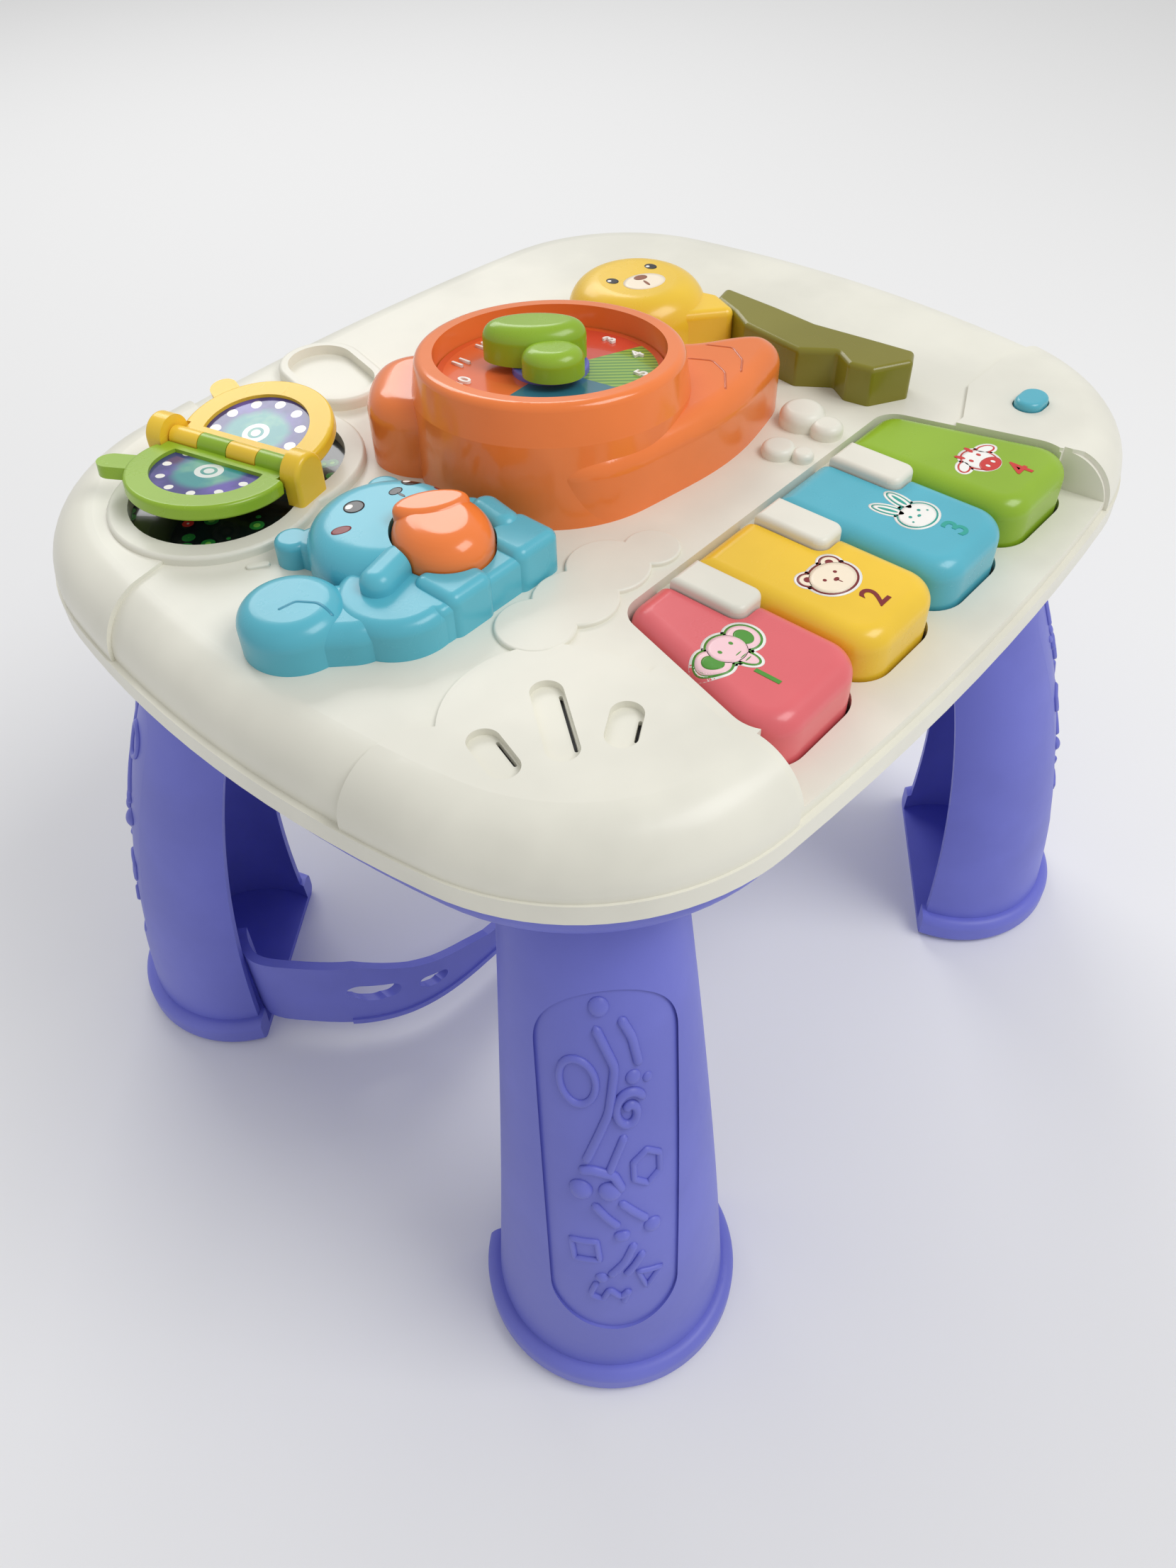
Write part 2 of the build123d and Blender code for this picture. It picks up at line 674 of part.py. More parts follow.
# Two dry cells side by side
with BuildPart() as battery_cells:
    cell_z = BAY_CEILING - BAY_WALL - CELL_RADIUS
    for side in (-1, 1):
        cell_x = BAY_X + side * (CELL_RADIUS + 0.2)
        with BuildSketch(Plane.XZ.offset(-(BAY_Y - CELL_LENGTH / 2.0))):
            with Locations((cell_x, cell_z)):
                Circle(CELL_RADIUS)
        extrude(amount=-CELL_LENGTH)
        with BuildSketch(Plane.XZ.offset(-(BAY_Y + CELL_LENGTH / 2.0))):
            with Locations((cell_x, cell_z)):
                Circle(2.7)
        extrude(amount=-1.2)
save(battery_cells.part, "battery_cells")

# Screws that hold the shell to the top
with BuildPart() as shell_screws:
    for x, y in SCREW_POINTS:
        add(rod(x, y, SHELL_FLOOR + 1.0, SHELL_FLOOR + 3.0, SCREW_HEAD_RADIUS))
        add(rod(x, y, SHELL_FLOOR + 3.0, BOSS_SPLIT + 9.0, SCREW_RADIUS - 0.02))
save(shell_screws.part, "shell_screws")


# Legs: each section is a circle cut by a straight chord on its open side
def leg_centre(z):
    """Centre of the leg at height z, for the leg at +X, +Y."""
    t = z / SHELL_BOTTOM
    return (LEG_FOOT_X - LEG_LEAN_X * t**LEG_LEAN_POWER, LEG_FOOT_Y - LEG_LEAN_Y * t**LEG_LEAN_POWER)


def leg_radius(z):
    """Outer radius of the leg at height z."""
    return LEG_FOOT_RADIUS + (LEG_TOP_RADIUS - LEG_FOOT_RADIUS) * z / SHELL_BOTTOM


def chord_face(x, y, radius, inset):
    """Disc cut by the straight line between the leg's two free edges, the line drawn in by inset."""
    start = math.radians(180.0 - LEG_EDGE_B)
    span = math.radians(LEG_EDGE_B - LEG_EDGE_A)
    middle = start + span / 2.0
    cut = radius * math.cos(span / 2.0) + inset
    with BuildSketch() as face:
        with Locations((x, y)):
            Circle(radius)
        with Locations(Location((x, y, 0), (0, 0, math.degrees(middle)))):
            with Locations((cut - EDGE_FAR / 2.0, 0.0)):
                Rectangle(EDGE_FAR, EDGE_FAR, mode=Mode.SUBTRACT)
    return face.sketch


LEG_HEIGHTS = [0.0, 85.0, 155.0, SHELL_BOTTOM]
PANEL_HEIGHT = 144.0
PANEL_WIDTH = 42.0
PANEL_Z = 113.0
PANEL_DEPTH = 1.0


def leg_column(shrink, full):
    """Leaning tapered column through the leg's sections, drawn in by shrink."""
    with BuildPart() as column:
        for z in LEG_HEIGHTS:
            x, y = leg_centre(z)
            with BuildSketch(Plane.XY.offset(z)):
                if full:
                    add(disc_face(x, y, leg_radius(z) - shrink))
                else:
                    add(chord_face(x, y, leg_radius(z) - shrink, 0.0))
        loft()
    return column.part


foot_x, foot_y = leg_centre(0.0)
outward = math.degrees(math.atan2(LEG_FOOT_Y, LEG_FOOT_X)) + 4.0
panel_x, panel_y = leg_centre(PANEL_Z)

# Stadium prism that reaches the leg's outer face from outside
with BuildPart() as panel_tool:
    panel_plane = Plane(
        origin=(panel_x, panel_y, PANEL_Z),
        x_dir=(-math.sin(math.radians(outward)), math.cos(math.radians(outward)), 0.0),
        z_dir=(math.cos(math.radians(outward)), math.sin(math.radians(outward)), 0.0),
    )
    with BuildSketch(panel_plane):
        SlotOverall(PANEL_HEIGHT, PANEL_WIDTH, rotation=90.0)
    extrude(amount=70.0)

with BuildPart() as leg_rear_right:
    add(leg_column(0.0, False))
    # rounded lip round the foot
    with BuildSketch():
        add(chord_face(foot_x, foot_y, LIP_RADIUS, 0.0))
    extrude(amount=LIP_HEIGHT)
    round_edges = leg_rear_right.edges().filter_by(GeomType.CIRCLE)
    fillet(round_edges.filter_by(lambda e: abs(e.radius - LIP_RADIUS) < 0.01), LIP_ROUND)
    # sunk panel on the outer face
    add(panel_tool.part - leg_column(PANEL_DEPTH, True), mode=Mode.SUBTRACT)
    # hollow between the sole and the top plate
    hollow_height = pillow(disc_face(LEG_FOOT_X, LEG_FOOT_Y, 150.0), SOLE, SHELL_BOTTOM - LEG_CAP, 0.0)
    add(leg_column(LEG_WALL, True) & hollow_height, mode=Mode.SUBTRACT)
    # spigot into the under shell
    add(rod(LEG_TOP_X, LEG_TOP_Y, SHELL_BOTTOM - 1.0, SHELL_BOTTOM + SPIGOT_HEIGHT, SPIGOT_RADIUS))
save(leg_rear_right.part, "leg_rear_right")

with BuildPart() as leg_rear_left:
    add(leg_rear_right.part.mirror(Plane.YZ))
save(leg_rear_left.part, "leg_rear_left")

with BuildPart() as leg_front_right:
    add(leg_rear_right.part.mirror(Plane.XZ))
save(leg_front_right.part, "leg_front_right")

with BuildPart() as leg_front_left:
    add(leg_rear_left.part.mirror(Plane.XZ))
save(leg_front_left.part, "leg_front_left")

# Brace: a ribbon on edge that swings in from inside each rear leg
BRACE_PATH = [
    (137.0, 90.0),
    (142.5, 80.5),
    (143.5, 75.5),
    (137.0, 61.0),
    (123.0, 43.0),
    (112.0, 33.5),
    (102.0, 28.0),
    (86.0, 23.5),
    (58.0, 22.0),
]
BRACE_TOP = [
    (160.0, 50.0),
    (118.0, 50.0),
    (99.0, 40.0),
    (89.0, 36.0),
    (72.0, 31.0),
    (60.0, 26.5),
    (40.0, 25.0),
]
BRACE_WINDOWS = [(115.0, 30.0, 19.0, 9.0, 14.0), (91.5, 24.0, 14.0, 6.0, 14.0)]
brace_points = [(-x, y) for x, y in BRACE_PATH] + [(x, y) for x, y in reversed(BRACE_PATH)]
brace_profile = (
    [(-x, z) for x, z in BRACE_TOP]
    + [(x, z) for x, z in reversed(BRACE_TOP)]
    + [(160.0, BRACE_BOTTOM), (-160.0, BRACE_BOTTOM)]
)


def ribbon_face(points, width):
    """Even band of a given width along a smooth line through points."""
    with BuildSketch() as face:
        with BuildLine() as line:
            Spline(*points)
        trace(line.line, line_width=width)
    return face.sketch


with BuildPart() as rear_brace:
    with BuildSketch(Plane.XY.offset(BRACE_BOTTOM)):
        add(ribbon_face(brace_points, BRACE_THICKNESS))
    extrude(amount=60.0)
    with BuildSketch(Plane.XZ):
        add(polygon_face(brace_profile))
    extrude(amount=-EDGE_FAR, mode=Mode.INTERSECT)
    # two wavy openings on each side
    for side in (-1, 1):
        for x, z, length, width, turn in BRACE_WINDOWS:
            with BuildSketch(Plane.XZ):
                with Locations(Location((side * x, z + 1.0, 0), (0, 0, side * turn))):
                    SlotOverall(length, width)
                    with Locations((0.0, -1.5)):
                        SlotOverall(length * 0.6, width)
            extrude(amount=-EDGE_FAR, mode=Mode.SUBTRACT)
    # bead along the bottom edge, outside the legs
    with BuildSketch(Plane.XY.offset(BRACE_BOTTOM)):
        add(ribbon_face(brace_points[4:-4], BRACE_THICKNESS + 2.0))
    extrude(amount=BRACE_BEAD)
save(rear_brace.part, "rear_brace")

# Piano keys
KEY_NAMES = ["key_pink", "key_yellow", "key_blue", "key_green"]
BOARD_TOP = POST_Z + BOARD_THICKNESS
DOME_TOP = BOARD_TOP + DOME_HEIGHT
plunger_points = []
for i in range(4):
    rear_left, rear_right, front_right, front_left = key_corners(i, 0.0)
    blend = (PLUNGER_Y - KEY_REAR_Y) / (KEY_FRONT_Y - KEY_REAR_Y)
    left = rear_left[0] + (front_left[0] - rear_left[0]) * blend
    right = rear_right[0] + (front_right[0] - rear_right[0]) * blend
    plunger_points.append(((left + right) / 2.0, PLUNGER_Y))


def piano_key(index):
    """Hollow key with its round edges, the notch for its short neighbour, the axle bore and the plunger."""
    floor_z = SHORT_KEY_BOTTOM - SHORT_KEY_GAP
    with BuildPart() as key:
        add(pillow(key_face(index, 0.0), KEY_BOTTOM, KEY_TOP, KEY_EDGE_ROUND))
        hollow = pillow(key_face(index, -KEY_WALL), KEY_BOTTOM - 1.0, KEY_TOP - KEY_ROOF, 0.0)
        if index < 3:
            notch = pillow(short_key_face(index, SHORT_KEY_GAP), floor_z, KEY_TOP + 1.0, 0.0)
            add(notch, mode=Mode.SUBTRACT)
            hollow = hollow - pillow(
                short_key_face(index, SHORT_KEY_GAP + KEY_WALL), floor_z - KEY_WALL, KEY_TOP + 1.0, 0.0
            )
        add(hollow, mode=Mode.SUBTRACT)
        # bearing ribs beside both side walls
        rear_left, rear_right, front_right, front_left = key_corners(index, 0.0)
        middle = (rear_left[0] + rear_right[0]) / 2.0
        half = (rear_right[0] - rear_left[0]) / 2.0 - KEY_WALL - 2.5
        for side in (-1, 1):
            with BuildSketch(Plane.YZ.offset(middle + side * half - EAR_WIDTH / 2.0)):
                with Locations((AXLE_Y, AXLE_Z + 0.6)):
                    Rectangle(7.5, 6.4)
            extrude(amount=EAR_WIDTH)
        with BuildSketch(Plane.YZ.offset(middle - 40.0)):
            with Locations((AXLE_Y, AXLE_Z)):
                Circle(AXLE_RADIUS + AXLE_GAP)
        extrude(amount=80.0, mode=Mode.SUBTRACT)
        x, y = plunger_points[index]
        add(rod(x, y, DOME_TOP + DOME_SEAT_GAP, KEY_TOP - KEY_ROOF + 0.5, PLUNGER_RADIUS))
    return key.part


for i in range(4):
    with BuildPart() as key:
        add(piano_key(i))
    save(key.part, KEY_NAMES[i])

# Axle of the keys
with BuildPart() as key_axle:
    with BuildSketch(Plane.YZ.offset(well_left_rear - 4.0)):
        with Locations((AXLE_Y, AXLE_Z)):
            Circle(AXLE_RADIUS)
    extrude(amount=well_right_rear - well_left_rear + 8.0)
save(key_axle.part, "key_axle")

# Circuit boards on the posts of the shell
with BuildPart() as key_board:
    with BuildSketch(Plane.XY.offset(POST_Z)):
        with BuildLine():
            Polyline(
                (-66.0, -108.0),
                (80.0, -108.0),
                (82.0, -102.0),
                (114.0, -102.0),
                (114.0, -92.0),
                (78.0, -92.0),
                (78.0, -88.0),
                (-66.0, -88.0),
                close=True,
            )
        make_face()
    extrude(amount=BOARD_THICKNESS)
save(key_board.part, "key_board")

with BuildPart() as main_board:
    with BuildSketch(Plane.XY.offset(POST_Z)):
        with BuildLine():
            Polyline(
                (-103.0, -22.0), (-66.0, -32.0), (12.0, -32.0), (12.0, 18.0), (-103.0, 12.0), close=True
            )
        make_face()
    extrude(amount=BOARD_THICKNESS)
    # two chips and a buzzer coil
    with BuildSketch(Plane.XY.offset(BOARD_TOP)):
        with Locations((-30.0, -10.0)):
            Rectangle(14.0, 9.0)
        with Locations((-8.0, -12.0)):
            Rectangle(8.0, 8.0)
        disc_x = -45.0
        with Locations((disc_x, 2.0)):
            Circle(3.5)
    extrude(amount=2.0)
save(main_board.part, "main_board")


def rubber_dome(x, y, label):
    """Low rubber cup with a narrower crown, under one plunger."""
    with BuildPart() as dome:
        add(rod(x, y, BOARD_TOP, BOARD_TOP + 1.0, DOME_RADIUS))
        with BuildSketch(Plane.XY.offset(BOARD_TOP + 1.0)):
            add(disc_face(x, y, DOME_RADIUS - 0.6))
        with BuildSketch(Plane.XY.offset(DOME_TOP)):
            add(disc_face(x, y, PLUNGER_RADIUS - 0.2))
        loft()
    save(dome.part, label)


for i in range(4):
    rubber_dome(plunger_points[i][0], plunger_points[i][1], "dome_" + KEY_NAMES[i])
rubber_dome(ACORN_X, ACORN_Y, "dome_acorn")
rubber_dome(MODE_X, MODE_Y, "dome_mode")

# Mode button at the right
with BuildPart() as mode_button:
    with BuildSketch(Plane.XY.offset(SKIN_Z - 2.0)):
        with Locations((MODE_X, MODE_Y)):
            SlotOverall(MODE_LENGTH, MODE_WIDTH)
    extrude(amount=TOP_Z + RELIEF + MODE_TRAVEL + 0.6 - SKIN_Z + 2.0)
    fillet(mode_button.faces().sort_by(Axis.Z)[-1].edges(), 1.6)
    with BuildSketch(Plane.XY.offset(SKIN_Z - 2.0)):
        with Locations((MODE_X, MODE_Y)):
            SlotOverall(MODE_LENGTH + 3.0, MODE_WIDTH + 3.0)
    extrude(amount=1.7)
    add(rod(MODE_X, MODE_Y, DOME_TOP + DOME_SEAT_GAP, SKIN_Z - 1.5, PLUNGER_RADIUS - 0.5))
save(mode_button.part, "mode_button")

# Speaker under the front left corner
with BuildPart() as speaker:
    add(rod(SPEAKER_X, SPEAKER_Y, SKIN_Z - 3.0, SKIN_Z, SPEAKER_RADIUS))
    with BuildSketch(Plane.XY.offset(SKIN_Z - 9.0)):
        add(disc_face(SPEAKER_X, SPEAKER_Y, 11.0))
    with BuildSketch(Plane.XY.offset(SKIN_Z - 3.0)):
        add(disc_face(SPEAKER_X, SPEAKER_Y, SPEAKER_RADIUS - 3.0))
    loft()
    add(rod(SPEAKER_X, SPEAKER_Y, SKIN_Z - 15.0, SKIN_Z - 9.0, 10.0))
save(speaker.part, "speaker")

# Dial housing: two soft lobes and the ring
HOUSING_SKIN = 2.5
HOUSING_TOP = TOP_Z + 22.0
HOUSING_ROUND = 7.0
LOBE_ROUND = 8.0
body_points = [
    (-48.5, 9.0),
    (-48.5, -7.0),
    (-46.0, -21.0),
    (-37.0, -30.5),
    (-15.0, -36.5),
    (5.0, -39.0),
    (24.0, -38.5),
    (43.0, -34.5),
    (54.0, -29.5),
    (57.0, -21.5),
    (50.0, -12.5),
    (38.0, -4.0),
    (31.0, 10.0),
    (28.0, 26.0),
    (18.0, 42.0),
    (-2.0, 53.0),
    (-25.0, 50.0),
    (-42.0, 30.0),
]
lobe_points = [
    (-58.5, 44.0),
    (-56.5, 33.0),
    (-47.0, 24.0),
    (-32.0, 27.0),
    (-21.0, 41.0),
    (-24.0, 57.0),
    (-37.0, 63.0),
    (-50.0, 56.5),
]


def leaned(part):
    """Part of the dial, leaned about the middle of the dial's face so that its far side is lower."""
    turn = math.radians(DIAL_LEAN_TURN)
    pivot = Axis((DIAL_X, DIAL_Y, DIAL_FACE_Z), (-math.sin(turn), math.cos(turn), 0.0))
    return part.rotate(pivot, DIAL_LEAN)


with BuildPart() as ring_form:
    with BuildSketch(Plane.XZ.offset(-DIAL_Y)):
        with BuildLine():
            Polyline(
                (DIAL_X, TOP_Z - 6.0),
                (DIAL_X + DIAL_SKIRT_RADIUS, TOP_Z - 6.0),
                (DIAL_X + DIAL_RIM_OUTER + 2.0, HOUSING_TOP),
                (DIAL_X + DIAL_RIM_OUTER, DIAL_CREST),
                (DIAL_X, DIAL_CREST),
                close=True,
            )
        make_face()
    revolve(axis=Axis((DIAL_X, DIAL_Y, 0.0), (0.0, 0.0, 1.0)))
    fillet(ring_form.edges().filter_by(GeomType.CIRCLE).sort_by(Axis.Z)[-1:], 2.6)

with BuildPart() as dial_housing:
    add(pillow(smooth_face(body_points), TOP_Z, HOUSING_TOP, HOUSING_ROUND))
    add(pillow(smooth_face(lobe_points), TOP_Z, HOUSING_TOP + 1.5, LOBE_ROUND))
    add(leaned(ring_form.part) & rod(DIAL_X, DIAL_Y, TOP_Z, TOP_Z + 60.0, 70.0))
    # hollow underneath
    with BuildSketch(Plane.XY.offset(TOP_Z - 1.0)):
        add(smooth_face(drawn_in(body_points, HOUSING_SKIN + 1.0)))
    extrude(amount=HOUSING_TOP - HOUSING_SKIN - 5.0 - TOP_Z, mode=Mode.SUBTRACT)
    with BuildSketch(Plane.XY.offset(TOP_Z - 1.0)):
        add(smooth_face(drawn_in(lobe_points, HOUSING_SKIN + 1.0)))
    extrude(amount=HOUSING_TOP - HOUSING_SKIN - 5.0 - TOP_Z, mode=Mode.SUBTRACT)
    shelf_bottom = DIAL_FACE_Z - DIAL_FACE_THICKNESS - 2.5
    add(leaned(rod(DIAL_X, DIAL_Y, TOP_Z - 9.0, shelf_bottom, DIAL_RIM_INNER + 1.0)), mode=Mode.SUBTRACT)
    # seat for the face and the open well above it
    add(leaned(rod(DIAL_X, DIAL_Y, TOP_Z, DIAL_CREST + 5.0, DIAL_SHELF_INNER)), mode=Mode.SUBTRACT)
    seat_z = DIAL_FACE_Z - DIAL_FACE_THICKNESS
    add(leaned(rod(DIAL_X, DIAL_Y, seat_z, DIAL_CREST + 5.0, DIAL_RIM_INNER)), mode=Mode.SUBTRACT)
save(dial_housing.part, "dial_housing")

shaft_hole = rod(DIAL_X, DIAL_Y, DIAL_FACE_Z - 9.0, DIAL_FACE_Z + 9.0, SHAFT_RADIUS + SHAFT_GAP)
with BuildPart() as dial_face:
    add(leaned(rod(DIAL_X, DIAL_Y, seat_z, DIAL_FACE_Z, DIAL_RIM_INNER - DIAL_FIT) - shaft_hole))
save(dial_face.part, "dial_face")

with BuildPart() as dial_hub_ring:
    hub_form = pillow(disc_face(DIAL_X, DIAL_Y, HUB_RADIUS), DIAL_FACE_Z, DIAL_FACE_Z + HUB_HEIGHT, 0.8)
    add(leaned(hub_form - shaft_hole))
save(dial_hub_ring.part, "dial_hub_ring")

SWITCH_TOP = TOP_Z + 19.0
with BuildPart() as rotary_switch:
    add(rod(DIAL_X, DIAL_Y, TOP_Z, SWITCH_TOP, 14.0))
    switch_bore = rod(DIAL_X, DIAL_Y, TOP_Z + 6.0, SWITCH_TOP + 4.0, SHAFT_RADIUS + SHAFT_GAP)
    add(leaned(switch_bore), mode=Mode.SUBTRACT)
save(rotary_switch.part, "rotary_switch")

knob_bottom = DIAL_FACE_Z + HUB_HEIGHT + KNOB_LIFT
KNOB_TURN = DIAL_LEAN_TURN - 90.0
with BuildPart() as knob_form:
    add(pillow(ellipse_face(-14.5, 16.0, 16.0, 9.5, KNOB_TURN), knob_bottom, KNOB_TOP, 5.0))
    add(pillow(ellipse_face(-21.0, 2.5, 9.5, 8.0, KNOB_TURN), knob_bottom, KNOB_TOP - 3.0, 4.0))
    add(pillow(disc_face(DIAL_X, DIAL_Y, 7.5), knob_bottom, KNOB_TOP - 4.0, 2.0))
    add(rod(DIAL_X, DIAL_Y, TOP_Z + 8.0, knob_bottom + 1.0, SHAFT_RADIUS))
with BuildPart() as dial_knob:
    add(leaned(knob_form.part))
save(dial_knob.part, "dial_knob")

# Squirrel that holds the acorn button
belly_points = [(-109.0, -34.5), (-62.0, -34.5), (-60.0, -22.0), (-62.0, -2.0), (-74.0, 6.0), (-106.0, 2.0)]
belly_hollow = [(-106.0, -31.8), (-65.0, -31.8), (-63.5, -22.0), (-65.0, -4.0), (-76.0, 3.0), (-104.0, 0.0)]
with BuildPart() as squirrel_body:
    add(pillow(polygon_face(belly_points, 4.0), TOP_Z, SQUIRREL_BODY_TOP, 2.5))
    add(pillow(disc_face(-108.0, -17.5, 17.0), TOP_Z, SQUIRREL_BODY_TOP, 4.0))
    add(pillow(disc_face(-90.0, 4.0, 24.0), TOP_Z, SQUIRREL_HEAD_TOP, 9.0))
    add(pillow(disc_face(-131.0, -2.0, 15.0), TOP_Z, SQUIRREL_FOOT_TOP, 6.0))
    add(pillow(capsule_face(-124.0, -9.0, 36.0, 24.0, -45.0), TOP_Z, SQUIRREL_BODY_TOP - 0.5, 5.0))
    for ear_x in (-107.5, -72.0):
        add(pillow(disc_face(ear_x, 27.0, 5.5), TOP_Z, TOP_Z + 8.0, 2.0))
        add(pillow(disc_face(ear_x + (90.0 + ear_x) * 0.25 * -1.0, 22.0, 6.0), TOP_Z, TOP_Z + 8.0, 2.0))
    for foot_x_low, foot_x_high in ((-104.0, -87.5), (-78.0, -61.0)):
        foot_points = [
            (foot_x_low, -35.5),
            (foot_x_high, -35.5),
            (foot_x_high, -19.0),
            (foot_x_low, -19.0),
        ]
        add(pillow(polygon_face(foot_points, 3.5), TOP_Z, SQUIRREL_FOOT_TOP, 3.0))
    # arms
    add(pillow(capsule_face(-105.5, -12.5, 20.0, 10.0, 15.0), TOP_Z, TOP_Z + 17.0, 4.0))
    add(pillow(capsule_face(-66.5, -15.0, 18.0, 9.5, 80.0), TOP_Z, TOP_Z + 15.0, 4.0))
    # hollow underneath
    belly_room = pillow(polygon_face(belly_hollow, 2.0), TOP_Z - 1.0, SQUIRREL_BODY_TOP - SQUIRREL_SKIN, 0.0)
    add(belly_room, mode=Mode.SUBTRACT)
    add(rod(-90.0, 4.0, TOP_Z - 1.0, SQUIRREL_BODY_TOP - SQUIRREL_SKIN, 20.5), mode=Mode.SUBTRACT)
    # opening for the acorn and its stem
    add(
        rod(STEM_X, STEM_Y, STEM_BOTTOM - ACORN_TRAVEL - ACORN_GAP, TOP_Z + 40.0, STEM_RADIUS + ACORN_GAP),
        mode=Mode.SUBTRACT,
    )
    add(
        pillow(
            ellipse_face(
                ACORN_X, ACORN_Y, ACORN_HALF_WIDTH + ACORN_GAP, ACORN_HALF_LENGTH + ACORN_GAP, ACORN_TILT
            ),
            TOP_Z + 1.0,
            TOP_Z + 40.0,
            0.0,
        ),
        mode=Mode.SUBTRACT,
    )
save(squirrel_body.part, "squirrel_body")

FLANGE_TOP = SQUIRREL_BODY_TOP - SQUIRREL_SKIN - 0.3
with BuildPart() as acorn_button:
    add(pillow(acorn_face, FLANGE_TOP - 2.0, ACORN_TOP, 8.0))
    add(
        pillow(
            ellipse_face(ACORN_X, ACORN_Y, ACORN_HALF_WIDTH + 1.5, ACORN_HALF_LENGTH + 1.2, ACORN_TILT),
            FLANGE_TOP - 2.0,
            FLANGE_TOP,
            0.0,
        )
    )
    # cap with its stem
    cap_face = ellipse_face(-82.5, -6.5, 11.0, 6.0, ACORN_TILT - 8.0)
    cap_form = pillow(cap_face, ACORN_TOP - 8.0, ACORN_TOP + 0.8, 2.5)
    add(cap_form & pillow(acorn_face, FLANGE_TOP, ACORN_TOP + 5.0, 0.0))
    add(pillow(disc_face(STEM_X, STEM_Y, STEM_RADIUS), STEM_BOTTOM, ACORN_TOP - 3.5, 1.2))
    add(rod(ACORN_X, ACORN_Y, DOME_TOP + DOME_SEAT_GAP, FLANGE_TOP - 1.0, ACORN_SHAFT))
save(acorn_button.part, "acorn_button")

# Flip book: pages, windows, posts and pin, first along X about the hinge line
SEGMENT = BARREL_HALF / 2.0
SEGMENT_GAP = 0.15
WEB_THICKNESS = 3.0
PAGE_TOP = -PAGE_CLEAR
PAGE_BOTTOM = -PAGE_CLEAR - PAGE_THICKNESS
PAGE_START = BARREL_RADIUS + 0.5
TILT_LEFT = 6.0
TILT_RIGHT = 9.0
REBATE_RADIUS = 19.0
POST_START = BARREL_HALF + 0.6
POST_FOOT_START = BARREL_HALF + 1.8
PLATE_TOP = TOP_Z - 1.5 + PLATE_THICKNESS


def page_form(tab_turn, tab_reach):
    """Ring page on the +Y side of the hinge line along X, with a tab on its rim."""
    with BuildPart() as page:
        add(rod(0.0, PAGE_OFFSET, PAGE_BOTTOM, PAGE_TOP, PAGE_RADIUS))
        fillet(page.edges().filter_by(GeomType.CIRCLE), 1.2)
        with BuildSketch(Plane.XY.offset(PAGE_BOTTOM + 0.4)):
            middle = (PAGE_INNER + tab_reach) / 2.0
            tab_x = middle * math.cos(math.radians(tab_turn))
            tab_y = PAGE_OFFSET + middle * math.sin(math.radians(tab_turn))
            add(capsule_face(tab_x, tab_y, tab_reach - PAGE_INNER, 9.0, tab_turn))
        extrude(amount=PAGE_THICKNESS - 0.8)
        # straight edge along the barrel, and room for the posts
        with BuildSketch(Plane.XY.offset(PAGE_BOTTOM - 1.0)):
            with Locations((0.0, PAGE_START - 50.0)):
                Rectangle(100.0, 100.0)
            for side in (-1, 1):
                with Locations((side * (BARREL_HALF - 0.2 + 10.0), 0.0)):
                    Rectangle(20.0, 2 * (POST_RADIUS + 1.0))
        extrude(amount=PAGE_THICKNESS + 2.0, mode=Mode.SUBTRACT)
        # window opening and the rebate that takes its disc
        window_hole = rod(0.0, PAGE_OFFSET, PAGE_BOTTOM - 1.0, PAGE_TOP + 1.0, PAGE_INNER)
        add(window_hole & keep_side(), mode=Mode.SUBTRACT)
        rebate_top = PAGE_TOP - WINDOW_STEP
        rebate = rod(0.0, PAGE_OFFSET, rebate_top - WINDOW_THICKNESS, rebate_top, REBATE_RADIUS)
        add(rebate & keep_side(), mode=Mode.SUBTRACT)
    return page.part


def knuckle_form():
    """Two hollow knuckles on the hinge line, each with the web that carries it to the page's straight edge."""
    with BuildPart() as knuckles:
        for start in (-BARREL_HALF, 0.0):
            with BuildSketch(Plane.YZ.offset(start + SEGMENT_GAP)):
                Circle(BARREL_RADIUS)
                with Locations((PAGE_START / 2.0, -PAGE_CLEAR - WEB_THICKNESS / 2.0)):
                    Rectangle(PAGE_START, WEB_THICKNESS)
            extrude(amount=SEGMENT - 2 * SEGMENT_GAP)
        with BuildSketch(Plane.YZ.offset(-60.0)):
            Circle(PIN_RADIUS + PIN_GAP)
        extrude(amount=120.0, mode=Mode.SUBTRACT)
    return knuckles.part


def keep_side():
    """Block over the page's side of the hinge, short of the bar beside the barrel."""
    with BuildPart() as block:
        with BuildSketch(Plane.XY.offset(-20.0)):
            with Locations((0.0, PAGE_START + 3.0 + 50.0)):
                Rectangle(100.0, 100.0)
        extrude(amount=40.0)
    return block.part


def window_form():
    """Disc that sits in the rebate of a page."""
    fit = 0.05
    with BuildPart() as window:
        add(
            rod(
                0.0,
                PAGE_OFFSET,
                PAGE_TOP - WINDOW_STEP - WINDOW_THICKNESS + fit,
                PAGE_TOP - WINDOW_STEP - fit,
                REBATE_RADIUS - fit,
            )
            & keep_side()
        )
    return window.part


def place_book(part, tilt, turn):
    """Tilt a piece about the hinge line, turn it about Z, and carry it to the book's place."""
    tilted = part.rotate(Axis.X, tilt).rotate(Axis.Z, turn + BOOK_TURN)
    return tilted.translate((BOOK_X, BOOK_Y, BOOK_AXIS_Z))


